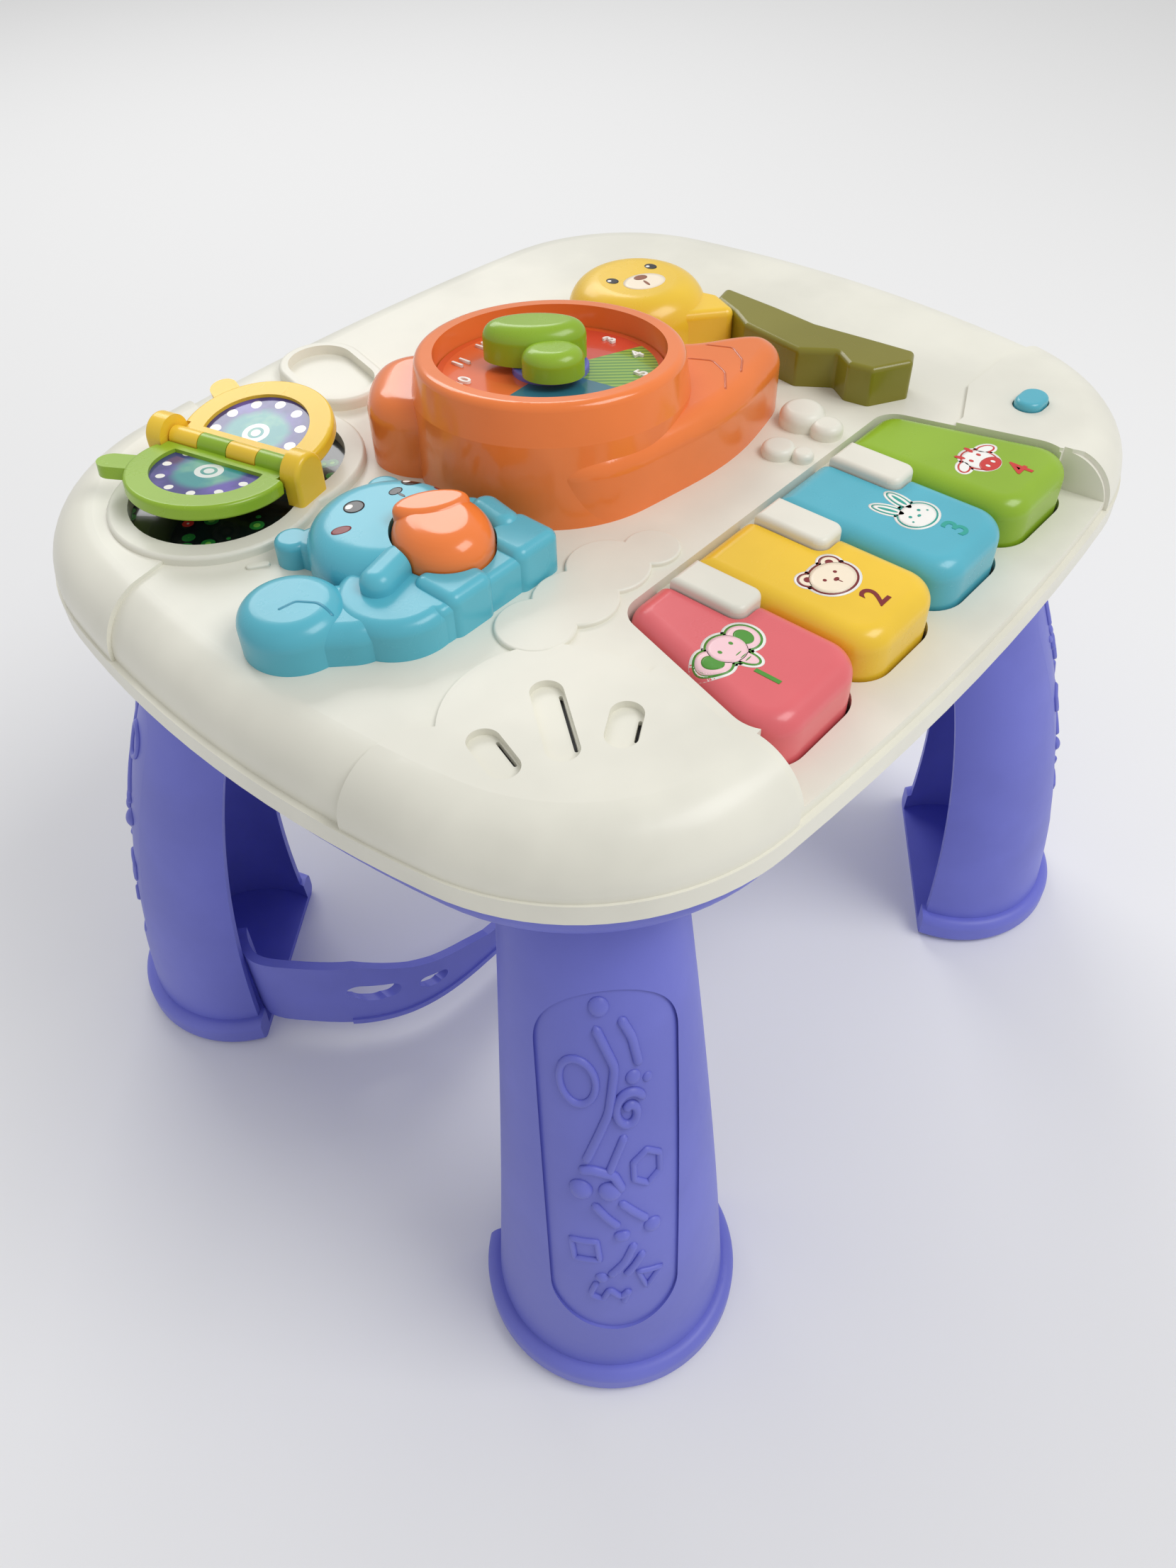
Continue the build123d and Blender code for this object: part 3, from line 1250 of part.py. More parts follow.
with BuildPart() as page_yellow:
    add(place_book(page_form(148.0, 32.0), TILT_RIGHT, 0.0))
save(page_yellow.part, "page_yellow")
with BuildPart() as knuckles_yellow:
    add(place_book(knuckle_form(), TILT_RIGHT, 0.0))
save(knuckles_yellow.part, "knuckles_yellow")
with BuildPart() as window_yellow:
    add(place_book(window_form(), TILT_RIGHT, 0.0))
save(window_yellow.part, "window_yellow")
with BuildPart() as page_green:
    add(place_book(page_form(20.0, 35.0), TILT_LEFT, 180.0))
save(page_green.part, "page_green")
with BuildPart() as knuckles_green:
    add(place_book(knuckle_form(), TILT_LEFT, 180.0))
save(knuckles_green.part, "knuckles_green")
with BuildPart() as window_green:
    add(place_book(window_form(), TILT_LEFT, 180.0))
save(window_green.part, "window_green")

with BuildPart() as hinge_pin_form:
    with BuildSketch(Plane.YZ.offset(-BARREL_HALF - 5.0)):
        Circle(PIN_RADIUS)
    extrude(amount=2 * BARREL_HALF + 10.0)
with BuildPart() as hinge_pin:
    add(place_book(hinge_pin_form.part, 0.0, 0.0))
save(hinge_pin.part, "hinge_pin")

post_base_z = TOP_Z + PAD_HEIGHT - BOOK_AXIS_Z
with BuildPart() as post_form:
    with BuildSketch(Plane.YZ.offset(POST_START)):
        Circle(POST_RADIUS)
    extrude(amount=POST_LENGTH)
    with BuildSketch(Plane.YZ.offset(POST_FOOT_START)):
        with Locations((0.0, post_base_z / 2.0)):
            Rectangle(2 * POST_RADIUS, -post_base_z)
    extrude(amount=POST_LENGTH - POST_FOOT_START + POST_START)
    fillet(post_form.faces().sort_by(Axis.X)[-1].edges().filter_by(GeomType.CIRCLE), 1.5)
    with BuildSketch(Plane.YZ.offset(POST_START - 1.0)):
        Circle(PIN_RADIUS + PIN_GAP)
    extrude(amount=1.0 + BARREL_HALF + 5.3 - POST_START, mode=Mode.SUBTRACT)
with BuildPart() as hinge_post_near:
    add(place_book(post_form.part, 0.0, 0.0))
save(hinge_post_near.part, "hinge_post_near")
with BuildPart() as hinge_post_far:
    add(place_book(post_form.part, 0.0, 180.0))
save(hinge_post_far.part, "hinge_post_far")

with BuildPart() as picture_plate:
    for side in (-1, 1):
        add(rod(*book_point(0.0, side * PAGE_OFFSET), TOP_Z - 1.5, PLATE_TOP, RECESS_RADIUS - 0.3))
save(picture_plate.part, "picture_plate")

# Figure at the rear right: head and paw, and the green body
figure_points = [
    (71.5, -3.0),
    (77.0, 5.5),
    (81.5, 16.5),
    (91.0, 19.0),
    (89.5, -4.0),
    (87.5, -22.0),
    (90.0, -44.0),
    (91.5, -59.0),
    (84.5, -62.5),
    (71.5, -55.0),
    (70.0, -46.5),
    (75.0, -39.0),
    (67.5, -28.0),
    (68.5, -21.0),
]
paw_points = [(60.0, 24.0), (61.5, 16.5), (77.0, 4.0), (83.0, 17.0), (80.0, 31.0)]
with BuildPart() as figure_head:
    add(pillow(disc_face(65.0, 40.0, 25.0), TOP_Z, TOP_Z + 20.0, 11.0))
    for ear_x, ear_y in ((42.0, 56.0), (84.0, 60.0)):
        add(pillow(disc_face(ear_x, ear_y, 7.0), TOP_Z, TOP_Z + 12.0, 3.0))
    add(pillow(polygon_face(paw_points, 3.0), TOP_Z, TOP_Z + 14.5, 2.8))
    # room for the green body
    add(pillow(polygon_face(figure_points), TOP_Z - 1.0, TOP_Z + 40.0, 0.0), mode=Mode.SUBTRACT)
    # room for the dial housing
    add(pillow(smooth_face(body_points), TOP_Z - 1.0, TOP_Z + 40.0, 0.0), mode=Mode.SUBTRACT)
    # hollow underneath
    add(rod(65.0, 40.0, TOP_Z - 1.0, TOP_Z + 12.0, 20.0), mode=Mode.SUBTRACT)
save(figure_head.part, "figure_head")

with BuildPart() as figure_body:
    add(pillow(polygon_face(figure_points, 2.0), TOP_Z, TOP_Z + 13.5, 1.8))
    with BuildSketch(Plane.XY.offset(TOP_Z - 1.0)):
        add(polygon_face(figure_points, 2.0))
        offset(amount=-2.5, kind=Kind.ARC)
    extrude(amount=11.5, mode=Mode.SUBTRACT)
save(figure_body.part, "figure_body")
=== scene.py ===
import math

import bmesh
import bpy
import numpy as np
from mathutils import Matrix, Vector
from mathutils.bvhtree import BVHTree


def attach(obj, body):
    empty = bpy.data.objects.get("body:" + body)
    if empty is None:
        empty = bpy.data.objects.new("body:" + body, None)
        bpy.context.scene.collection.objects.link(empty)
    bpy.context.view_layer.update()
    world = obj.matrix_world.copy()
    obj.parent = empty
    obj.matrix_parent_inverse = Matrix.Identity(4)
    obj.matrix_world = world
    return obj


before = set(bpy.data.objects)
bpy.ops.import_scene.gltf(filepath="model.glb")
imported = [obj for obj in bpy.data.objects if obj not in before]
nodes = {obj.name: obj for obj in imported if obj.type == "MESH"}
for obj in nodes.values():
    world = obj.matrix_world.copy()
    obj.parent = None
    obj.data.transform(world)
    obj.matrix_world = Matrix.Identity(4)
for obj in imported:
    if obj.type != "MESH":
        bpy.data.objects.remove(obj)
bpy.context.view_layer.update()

# Places and sizes in millimetres, angles in degrees; the frame itself is in metres
MM = 0.001
ABOVE_ALL = 0.4  # metres: rays that look down on the table start here
KEY_TOP = 256.5
DIAL = (-14.4, 9.8)
DIAL_FACE = 282.0
DIAL_LEAN = 5.0
DIAL_LEAN_TURN = 42.0
DIAL_RIM = 33.4
NUMERAL_RING = 28.5
PAGE_GREEN = (-104.2, 69.2)
PAGE_YELLOW = (-81.8, 74.8)
PAGE_DOTS = 14.2


# Colours and shader maths
def tone(red, green, blue):
    """Linear colour from screen values of 0 to 255."""
    parts = []
    for value in (red, green, blue):
        v = value / 255.0
        parts.append(v / 12.92 if v <= 0.04045 else ((v + 0.055) / 1.055) ** 2.4)
    return (*parts, 1.0)


class Wire:
    """A shader socket that can be used in Python expressions; each operation adds a Math node."""

    def __init__(self, shader, socket):
        self.shader = shader
        self.socket = socket

    def maths(self, operation, *others):
        """Result of a Math node on this socket and the others."""
        node = self.shader.node("ShaderNodeMath", {"operation": operation}, [self, *others])
        return Wire(self.shader, node.outputs[0])

    def __add__(self, other):
        return self.maths("ADD", other)

    __radd__ = __add__

    def __mul__(self, other):
        return self.maths("MULTIPLY", other)

    __rmul__ = __mul__

    def __sub__(self, other):
        return self.maths("SUBTRACT", other)

    def __rsub__(self, other):
        return (self * -1.0) + other

    def __truediv__(self, other):
        return self.maths("DIVIDE", other)

    def __gt__(self, other):
        return self.maths("GREATER_THAN", other)

    def __lt__(self, other):
        return self.maths("LESS_THAN", other)

    def root(self):
        return self.maths("SQRT")

    def soft(self, low, high):
        """0 below low, 1 above high, smooth between them."""
        settings = {"interpolation_type": "SMOOTHSTEP", "clamp": True}
        node = self.shader.node("ShaderNodeMapRange", settings, [self, low, high, 0.0, 1.0])
        return Wire(self.shader, node.outputs[0])


class Shader:
    """One material with a Principled surface, and short calls for its other nodes."""

    def __init__(self, name):
        self.material = bpy.data.materials.new(name)
        self.material.use_nodes = True
        self.tree = self.material.node_tree
        self.surface = self.tree.nodes["Principled BSDF"]
        self.place = self.node("ShaderNodeTexCoord", {}, []).outputs["Object"]

    def feed(self, value, socket):
        """Link a wire or an output to a socket, or set a plain value on it."""
        if isinstance(value, Wire):
            value = value.socket
        if isinstance(value, bpy.types.NodeSocket):
            self.tree.links.new(value, socket)
        else:
            socket.default_value = value

    def node(self, kind, settings, inputs):
        """New node: its settings first, then its sockets by number or by name."""
        made = self.tree.nodes.new(kind)
        for key, value in settings.items():
            setattr(made, key, value)
        for key, value in inputs.items() if isinstance(inputs, dict) else enumerate(inputs):
            self.feed(value, made.inputs[key])
        return made

    def set(self, **values):
        """Feed sockets of the surface; an underscore stands for the space in a socket's name."""
        for key, value in values.items():
            self.feed(value, self.surface.inputs[key.replace("_", " ")])

    def axes(self):
        node = self.node("ShaderNodeSeparateXYZ", {}, [self.place])
        return [Wire(self, s) for s in node.outputs]

    def noise(self, scale, detail=3.0, roughness=0.5, place=None):
        inputs = {"Vector": place or self.place, "Scale": scale, "Detail": detail, "Roughness": roughness}
        return Wire(self, self.node("ShaderNodeTexNoise", {}, inputs).outputs[0])

    def cells(self, scale):
        node = self.node("ShaderNodeTexVoronoi", {}, {"Vector": self.place, "Scale": scale})
        return Wire(self, node.outputs["Distance"])

    def mix(self, amount, first, second):
        """Colour that goes from first to second as amount goes from 0 to 1."""
        node = self.node("ShaderNodeMix", {"data_type": "RGBA"}, {0: amount, 6: first, 7: second})
        return node.outputs[2]

    def bump(self, height, strength, distance):
        node = self.node("ShaderNodeBump", {}, {"Height": height, "Strength": strength, "Distance": distance})
        self.set(Normal=node.outputs["Normal"])


def moulded(name, colour, rough, coat, peel=0.15, grain=0.0):
    """Moulded plastic: soft waviness, faint mottling, handling marks, and a fine grain on matt pieces."""
    s = Shader(name)
    wave = s.noise(55.0, 2.0)
    cloud = s.noise(16.0, 4.0)
    darker = tuple(c * 0.93 for c in colour[:3]) + (1.0,)
    lighter = tuple(min(1.0, c * 1.04 + 0.004) for c in colour[:3]) + (1.0,)
    s.set(Base_Color=s.mix(cloud.soft(0.35, 0.65), darker, lighter))
    smudge = s.noise(38.0, 6.0, 0.62).soft(0.52, 0.70)
    x, y, z = s.axes()
    stretched = [x * 3.0 + y * 1.2, y * 60.0 - x * 14.0, z * 40.0]
    streak_place = s.node("ShaderNodeCombineXYZ", {}, stretched).outputs[0]
    hair = s.noise(9.0, 3.0, 0.6, streak_place).soft(0.67, 0.72)
    s.set(Roughness=(cloud * 0.06 + (rough - 0.03)) + smudge * 0.05 + hair * 0.04)
    height = wave * peel
    if grain > 0.0:
        height = height + s.noise(2600.0, 2.0) * grain
    height = height - hair * 0.025
    s.bump(height, 0.35, 0.0006)
    s.set(Coat_Weight=coat, Coat_Roughness=0.08, IOR=1.46)
    return s.material


def dress(node, material):
    """Give a carried-over solid its material."""
    mesh = nodes[node].data
    mesh.materials.clear()
    mesh.materials.append(material)


white = moulded("white moulding", tone(232, 230, 217), 0.36, 0.05, 0.16)
purple = moulded("lavender moulding", tone(113, 118, 209), 0.42, 0.0, 0.10, 0.10)
orange = moulded("orange moulding", tone(243, 128, 56), 0.20, 0.35, 0.14)
sky = moulded("sky blue moulding", tone(88, 182, 202), 0.27, 0.15, 0.12)
yellow = moulded("yellow moulding", tone(244, 202, 54), 0.26, 0.15, 0.12)
pink = moulded("pink moulding", tone(232, 108, 114), 0.28, 0.15, 0.12)
green = moulded("leaf green moulding", tone(146, 184, 42), 0.26, 0.15, 0.12)
olive = moulded("olive moulding", tone(130, 124, 26), 0.28, 0.15, 0.12)
# Darker copies of the orange and the sky blue: painted shade, so that raised beads look like sunk grooves
orange_painted_groove_shade = moulded("orange with painted groove shade", tone(206, 96, 36), 0.24, 0.30, 0.10)
sky_painted_groove_shade = moulded("sky blue with painted groove shade", tone(62, 150, 176), 0.30, 0.12, 0.10)
dark = moulded("black moulding", tone(34, 34, 38), 0.45, 0.0, 0.1, 0.2)
laminate = moulded("circuit board", tone(28, 92, 60), 0.35, 0.1, 0.05)
rubber = moulded("grey rubber", tone(176, 176, 174), 0.7, 0.0, 0.1, 0.3)


def metal(name, colour, rough):
    """Drawn steel with fine speckled tool marks."""
    s = Shader(name)
    marks = s.noise(900.0, 2.0)
    s.set(Base_Color=colour, Metallic=1.0, Roughness=marks * 0.12 + (rough - 0.05))
    s.bump(marks, 0.15, 0.0002)
    return s.material


steel = metal("steel pin", tone(200, 200, 204), 0.28)
jacket = moulded("cell jacket", tone(52, 54, 66), 0.25, 0.3)


def polar(s, centre):
    """Place of each point round an upright axis: both offsets in millimetres, the distance, the angle."""
    x, y, _ = s.axes()
    dx = x / MM - centre[0]
    dy = y / MM - centre[1]
    return dx, dy, (dx * dx + dy * dy).root(), dy.maths("ARCTAN2", dx)


def dial_print():
    """Printed dial: four coloured fields that meet at the hub, the lower right one striped."""
    s = Shader("dial print")
    dx, dy, away, angle = polar(s, DIAL)
    turn = angle * (180.0 / math.pi)
    stripes = (dx * 0.34 + dy * 0.3).maths("FRACT") > 0.5
    striped = s.mix(stripes, tone(150, 190, 70), tone(96, 150, 62))
    colour = tone(238, 112, 58)
    fields = ((-172.0, -84.0, tone(54, 120, 140)), (-84.0, -18.0, striped), (-18.0, 62.0, tone(214, 72, 48)))
    for start, end, field in fields:
        colour = s.mix((turn > start) * (turn < end), colour, field)
    colour = s.mix(away > DIAL_RIM, colour, tone(226, 96, 44))
    s.set(Base_Color=colour, Roughness=s.noise(60.0, 4.0) * 0.1 + 0.12, Coat_Weight=0.4, IOR=1.5)
    s.bump(s.noise(80.0), 0.1, 0.0004)
    return s.material


def page_print(name, centre, dot_size):
    """Printed page disc: coloured rings round the middle, and eleven pale dots in a ring."""
    s = Shader(name)
    _, _, away, angle = polar(s, centre)
    cloud = s.noise(70.0, 3.0).soft(0.4, 0.62)
    outer = s.mix(cloud, tone(62, 58, 128), tone(104, 88, 176))
    inner = s.mix(cloud, tone(62, 150, 152), tone(126, 186, 160))
    colour = s.mix((away + cloud * 2.0).soft(9.0, 13.0), inner, outer)
    colour = s.mix((away < 4.4) * (away > 2.6), colour, tone(226, 232, 226))
    colour = s.mix(away < 1.6, colour, tone(226, 232, 226))
    around = (angle * (11.0 / (2.0 * math.pi))).maths("FRACT") - 0.5
    along = (away - PAGE_DOTS) / 3.4
    spot = ((around * around) * 6.5 + along * along).root()
    colour = s.mix(spot < dot_size, colour, tone(246, 244, 238))
    s.set(Base_Color=colour, Roughness=0.12, Coat_Weight=0.5, IOR=1.5)
    s.bump(s.noise(90.0), 0.08, 0.0004)
    return s.material


def plate_print():
    """Printed plate under the pages: dark ground, green leaves, and a few red and white spots."""
    s = Shader("picture plate print")
    leaves = s.cells(150.0)
    spots = s.cells(85.0)
    cloud = s.noise(60.0, 3.0)
    colour = s.mix(leaves < 0.34, tone(16, 22, 20), tone(38, 128, 52))
    colour = s.mix(leaves < 0.16, colour, tone(120, 190, 74))
    colour = s.mix((spots < 0.16) * (cloud > 0.5), colour, tone(214, 52, 44))
    colour = s.mix(spots < 0.06, colour, tone(240, 236, 220))
    s.set(Base_Color=colour, Roughness=0.2, Coat_Weight=0.4, IOR=1.5)
    s.bump(cloud, 0.08, 0.0004)
    return s.material


LEGS = ("leg_front_left", "leg_front_right", "leg_rear_left", "leg_rear_right")
POSTS = ("hinge_post_near", "hinge_post_far")
DOMES = tuple(name for name in nodes if name.startswith("dome_"))
MATERIALS = (
    (page_print("green page print", PAGE_GREEN, 0.42), ("window_green",)),
    (page_print("yellow page print", PAGE_YELLOW, 0.55), ("window_yellow",)),
    (plate_print(), ("picture_plate",)),
    (dial_print(), ("dial_face",)),
    (white, ("tray_top",)),
    (purple, (*LEGS, "under_shell", "rear_brace", "battery_door", "dial_hub_ring")),
    (orange, ("dial_housing", "acorn_button")),
    (sky, ("squirrel_body", "key_blue", "mode_button")),
    (yellow, ("figure_head", "key_yellow", "page_yellow", "knuckles_yellow", *POSTS)),
    (green, ("key_green", "page_green", "knuckles_green", "dial_knob")),
    (pink, ("key_pink",)),
    (olive, ("figure_body",)),
    (steel, ("key_axle", "hinge_pin", "shell_screws")),
    (jacket, ("battery_cells",)),
    (laminate, ("key_board", "main_board")),
    (dark, ("speaker", "rotary_switch")),
    (rubber, DOMES),
)
for material, names in MATERIALS:
    for name in names:
        dress(name, material)


# Printed pictures, and the white that also paints highlights in the eyes
def printed(name, colour, rough=0.32):
    """Ink or film that is laid on plastic."""
    s = Shader(name)
    fleck = s.noise(240.0, 3.0)
    pale = tuple(min(1.0, c * 1.05) for c in colour[:3]) + (1.0,)
    s.set(Base_Color=s.mix(fleck, colour, pale), Roughness=fleck * 0.08 + (rough - 0.04))
    s.bump(fleck, 0.08, 0.0002)
    return s.material


ink = {
    # white: sticker film, and also the painted highlights in the eyes
    "white": printed("white film and painted eye highlight", tone(244, 243, 238)),
    "green": printed("green ink", tone(76, 148, 48)),
    "blush": printed("pale pink ink", tone(246, 205, 212)),
    "maroon": printed("maroon ink", tone(128, 34, 36)),
    "cream": printed("cream ink", tone(246, 232, 208)),
    "teal": printed("teal ink", tone(46, 164, 150)),
    "red": printed("red ink", tone(206, 56, 52)),
    "black": printed("black ink", tone(26, 24, 26), 0.2),
    "brown": printed("brown ink", tone(140, 76, 40)),
}


def put(name, data):
    """New object in the scene."""
    made = bpy.data.objects.new(name, data)
    bpy.context.scene.collection.objects.link(made)
    return made


def piece(name, points, faces, material, body):
    """Smooth mesh object from points in millimetres, riding on a body."""
    mesh = bpy.data.meshes.new(name)
    mesh.from_pydata((np.asarray(points, float) * MM).tolist(), [], faces)
    mesh.materials.append(material)
    mesh.update()
    mesh.shade_smooth()
    made = put(name, mesh)
    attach(made, body)
    return made


def ground_of(name):
    """Search tree over the faces of a solid, to lay thin shapes on it."""
    mesh = nodes[name].data
    points = [vertex.co.copy() for vertex in mesh.vertices]
    return BVHTree.FromPolygons(points, [tuple(polygon.vertices) for polygon in mesh.polygons])


def heights(ground, x, y):
    """Height in millimetres of the first face below each point; not a number beside the solid."""
    down = Vector((0.0, 0.0, -1.0))
    hits = [ground.ray_cast(Vector((a * MM, b * MM, ABOVE_ALL)), down)[0] for a, b in zip(x, y)]
    return np.array([hit.z / MM if hit is not None else np.nan for hit in hits])


def joined(parts):
    """One list of points and one of faces out of several of each."""
    points = []
    faces = []
    for part_points, part_faces in parts:
        start = len(points)
        points.extend(np.asarray(part_points).tolist())
        faces.extend(tuple(start + i for i in face) for face in part_faces)
    return points, faces


def face_outwards(made):
    """Turn the faces of closed shells outwards."""
    work = bmesh.new()
    work.from_mesh(made.data)
    bmesh.ops.recalc_face_normals(work, faces=work.faces)
    work.to_mesh(made.data)
    work.free()


class Picture:
    """Thin star-shaped patches laid on a node from above, a few hundredths of a millimetre apart."""

    RINGS = 5
    SHEET = 0.025  # thickness of a patch
    LAYER = 0.03  # step from one layer to the next

    def __init__(self, name, body, node, centre=(0.0, 0.0)):
        self.name = name
        self.body = body
        self.ground = ground_of(node)
        self.centre = centre
        self.shapes = []

    def oval(self, colour, x, y, half_x, half_y, turn, layer):
        """Ellipse: the points of a unit circle scaled, turned by degrees and moved."""
        around = np.linspace(0.0, 2.0 * math.pi, 36, endpoint=False)
        c, s = math.cos(math.radians(turn)), math.sin(math.radians(turn))
        u = half_x * np.cos(around)
        v = half_y * np.sin(around)
        self.shapes.append((colour, layer, np.stack([x + u * c - v * s, y + u * s + v * c], 1)))

    def patch(self, layer, rim):
        """The rim drawn in to its middle in even rings, and its underside, the same grid a little lower.
        A point that lies beside the node takes the lowest height found."""
        middle = rim.mean(0)
        count = len(rim)
        share = np.linspace(1.0, 0.0, self.RINGS + 1)[:-1]
        grid = np.concatenate([middle + (rim - middle) * k for k in share] + [middle[None, :]])
        level = heights(self.ground, grid[:, 0], grid[:, 1])
        level = np.where(np.isnan(level), np.nanmin(level), level)
        lift = 0.015 + self.LAYER * layer
        points = [np.column_stack([grid, level + rise]) for rise in (lift, lift + self.SHEET)]
        size = len(grid)
        last = (self.RINGS - 1) * count
        faces = []
        for i in range(count):
            j = (i + 1) % count
            for k in range(0, last, count):
                quad = (k + i, k + j, k + count + j, k + count + i)
                faces.append(tuple(size + q for q in quad))
                faces.append(quad[::-1])
            faces.append((size + last + i, size + last + j, 2 * size - 1))
            faces.append((last + j, last + i, size - 1))
            faces.append((i, j, size + j, size + i))
        return np.concatenate(points), faces

    def make(self):
        """One piece for each colour."""
        groups = {}
        for colour, layer, flat in self.shapes:
            groups.setdefault(colour, []).append(self.patch(layer, flat + self.centre))
        for colour, patches in groups.items():
            piece(self.name + "_" + colour, *joined(patches), ink[colour], self.body)


def numeral(name, text, size, colour, body, centre, tilt=None, height=0.12):
    """Raised or printed number that faces up, or leans with tilt; size is its height in millimetres."""
    curve = bpy.data.curves.new(name, "FONT")
    curve.body = text
    curve.size = size * 1.4
    curve.align_x = "CENTER"
    curve.align_y = "CENTER"
    curve.extrude = height / 2.0
    curve.offset = size * 0.02
    holder = put(name + "_curve", curve)
    bpy.context.view_layer.update()
    mesh = bpy.data.meshes.new_from_object(holder)
    bpy.data.objects.remove(holder)
    place = Matrix.Translation(Vector(centre)) @ (tilt or Matrix.Identity(4))
    mesh.transform(Matrix.Scale(MM, 4) @ place @ Matrix.Translation((0.0, 0.0, height / 2.0 + 0.01)))
    mesh.name = name
    mesh.materials.clear()
    mesh.materials.append(ink[colour])
    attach(put(name, mesh), body)


def elephant(p, line, fill):
    """Round head, two wide ears, a trunk."""
    for grow, colour, layer in ((1.5, "white", 0), (0.7, line, 1), (0.0, fill, 2)):
        p.oval(colour, -6.6, 0.6, 4.4 + grow, 5.0 + grow, 15.0, layer)
        p.oval(colour, 6.6, 0.6, 4.4 + grow, 5.0 + grow, -15.0, layer)
        p.oval(colour, 0.0, 1.0, 5.6 + grow, 5.6 + grow, 0.0, layer)
        p.oval(colour, 0.4, -4.6, 2.0 + grow, 4.0 + grow, 8.0, layer)
    p.oval(line, -6.8, 0.6, 2.6, 3.2, 15.0, 3)
    p.oval(line, 6.8, 0.6, 2.6, 3.2, -15.0, 3)
    p.oval(fill, 0.0, 1.0, 5.4, 5.4, 0.0, 4)
    for x in (-2.4, 2.4):
        p.oval(line, x, 1.6, 0.55, 0.7, 0.0, 5)
    for y in (-2.4, -4.0, -5.6):
        p.oval(line, 0.4, y, 1.2, 0.18, 0.0, 5)


def bear(p, line, fill):
    """Round head with two small round ears and a muzzle."""
    for grow, colour, layer in ((1.5, "white", 0), (0.7, line, 1), (0.0, fill, 2)):
        p.oval(colour, -5.4, 4.6, 2.6 + grow, 2.6 + grow, 0.0, layer)
        p.oval(colour, 5.4, 4.6, 2.6 + grow, 2.6 + grow, 0.0, layer)
        p.oval(colour, 0.0, 0.0, 7.6 + grow, 6.4 + grow, 0.0, layer)
    for x in (-5.4, 5.4):
        p.oval(line, x, 4.8, 1.2, 1.2, 0.0, 3)
    p.oval(fill, 0.0, 0.0, 7.4, 6.2, 0.0, 4)
    for x in (-2.6, 2.6):
        p.oval(line, x, 1.0, 0.6, 0.6, 0.0, 5)
    p.oval(line, 0.0, -1.2, 1.0, 0.7, 0.0, 5)
    p.oval(line, 0.0, -2.4, 0.2, 1.0, 0.0, 5)


def rabbit(p, line, fill):
    """Wide head with two long ears, dotted cheeks."""
    for grow, colour, layer in ((1.4, "white", 0), (0.6, line, 1), (0.0, fill, 2)):
        p.oval(colour, -3.2, 7.0, 1.6 + grow, 4.8 + grow, 14.0, layer)
        p.oval(colour, 3.2, 7.0, 1.6 + grow, 4.8 + grow, -14.0, layer)
        p.oval(colour, 0.0, -1.0, 6.6 + grow, 5.2 + grow, 0.0, layer)
    p.oval(line, -3.3, 7.2, 0.6, 3.2, 14.0, 3)
    p.oval(line, 3.3, 7.2, 0.6, 3.2, -14.0, 3)
    for x in (-2.4, 2.4):
        p.oval(line, x, 0.0, 0.55, 0.55, 0.0, 5)
        p.oval(line, x * 1.7, -2.0, 0.35, 0.35, 0.0, 5)
    p.oval(line, 0.0, -1.6, 0.7, 0.5, 0.0, 5)


def calf(p, line, fill):
    """Oval head with side ears, short horns, and a large muzzle."""
    for grow, colour, layer in ((1.4, "white", 0), (0.6, line, 1), (0.0, fill, 2)):
        p.oval(colour, -6.8, 2.4, 2.8 + grow, 1.5 + grow, 24.0, layer)
        p.oval(colour, 6.8, 2.4, 2.8 + grow, 1.5 + grow, -24.0, layer)
        p.oval(colour, 0.0, 0.8, 5.2 + grow, 5.6 + grow, 0.0, layer)
    p.oval(line, -2.8, 6.2, 0.8, 1.8, 14.0, 3)
    p.oval(line, 2.8, 6.2, 0.8, 1.8, -14.0, 3)
    p.oval(line, 0.0, -3.0, 4.6, 3.0, 0.0, 3)
    for x in (-2.3, 2.3):
        p.oval(line, x, 2.4, 0.6, 0.8, 0.0, 5)
        p.oval(fill, x * 0.7, -3.0, 0.6, 0.8, 0.0, 5)


KEY_PICTURES = [
    ("key_pink", elephant, "green", "blush", (-61.4, -95.3), (-63.4, -109.2), "1"),
    ("key_yellow", bear, "maroon", "cream", (-17.5, -98.8), (-17.3, -112.6), "2"),
    ("key_blue", rabbit, "teal", "white", (24.4, -100.4), (25.9, -113.7), "3"),
    ("key_green", calf, "red", "white", (63.3, -101.7), (66.5, -113.4), "4"),
]
for body, draw, line, fill, spot, digit_spot, digit in KEY_PICTURES:
    sticker = Picture(body + "_sticker", body, body, spot)
    draw(sticker, line, fill)
    sticker.make()
    numeral(body + "_numeral", digit, 8.0, line, body, (*digit_spot, KEY_TOP))

# Dial numerals, raised and white, on the face that leans away from the front
lean_axis = Vector((-math.sin(math.radians(DIAL_LEAN_TURN)), math.cos(math.radians(DIAL_LEAN_TURN)), 0.0))
dial_lean = Matrix.Rotation(math.radians(DIAL_LEAN), 4, lean_axis)
for hour in range(12):
    direction = math.radians(90.0 - 30.0 * hour)
    offset = Vector((NUMERAL_RING * math.cos(direction), NUMERAL_RING * math.sin(direction), 0.0))
    spot = Vector((*DIAL, DIAL_FACE)) + dial_lean @ offset
    name = "dial_numeral_%d" % (hour or 12)
    numeral(name, str(hour or 12), 4.6, "white", "table", spot, tilt=dial_lean, height=0.8)

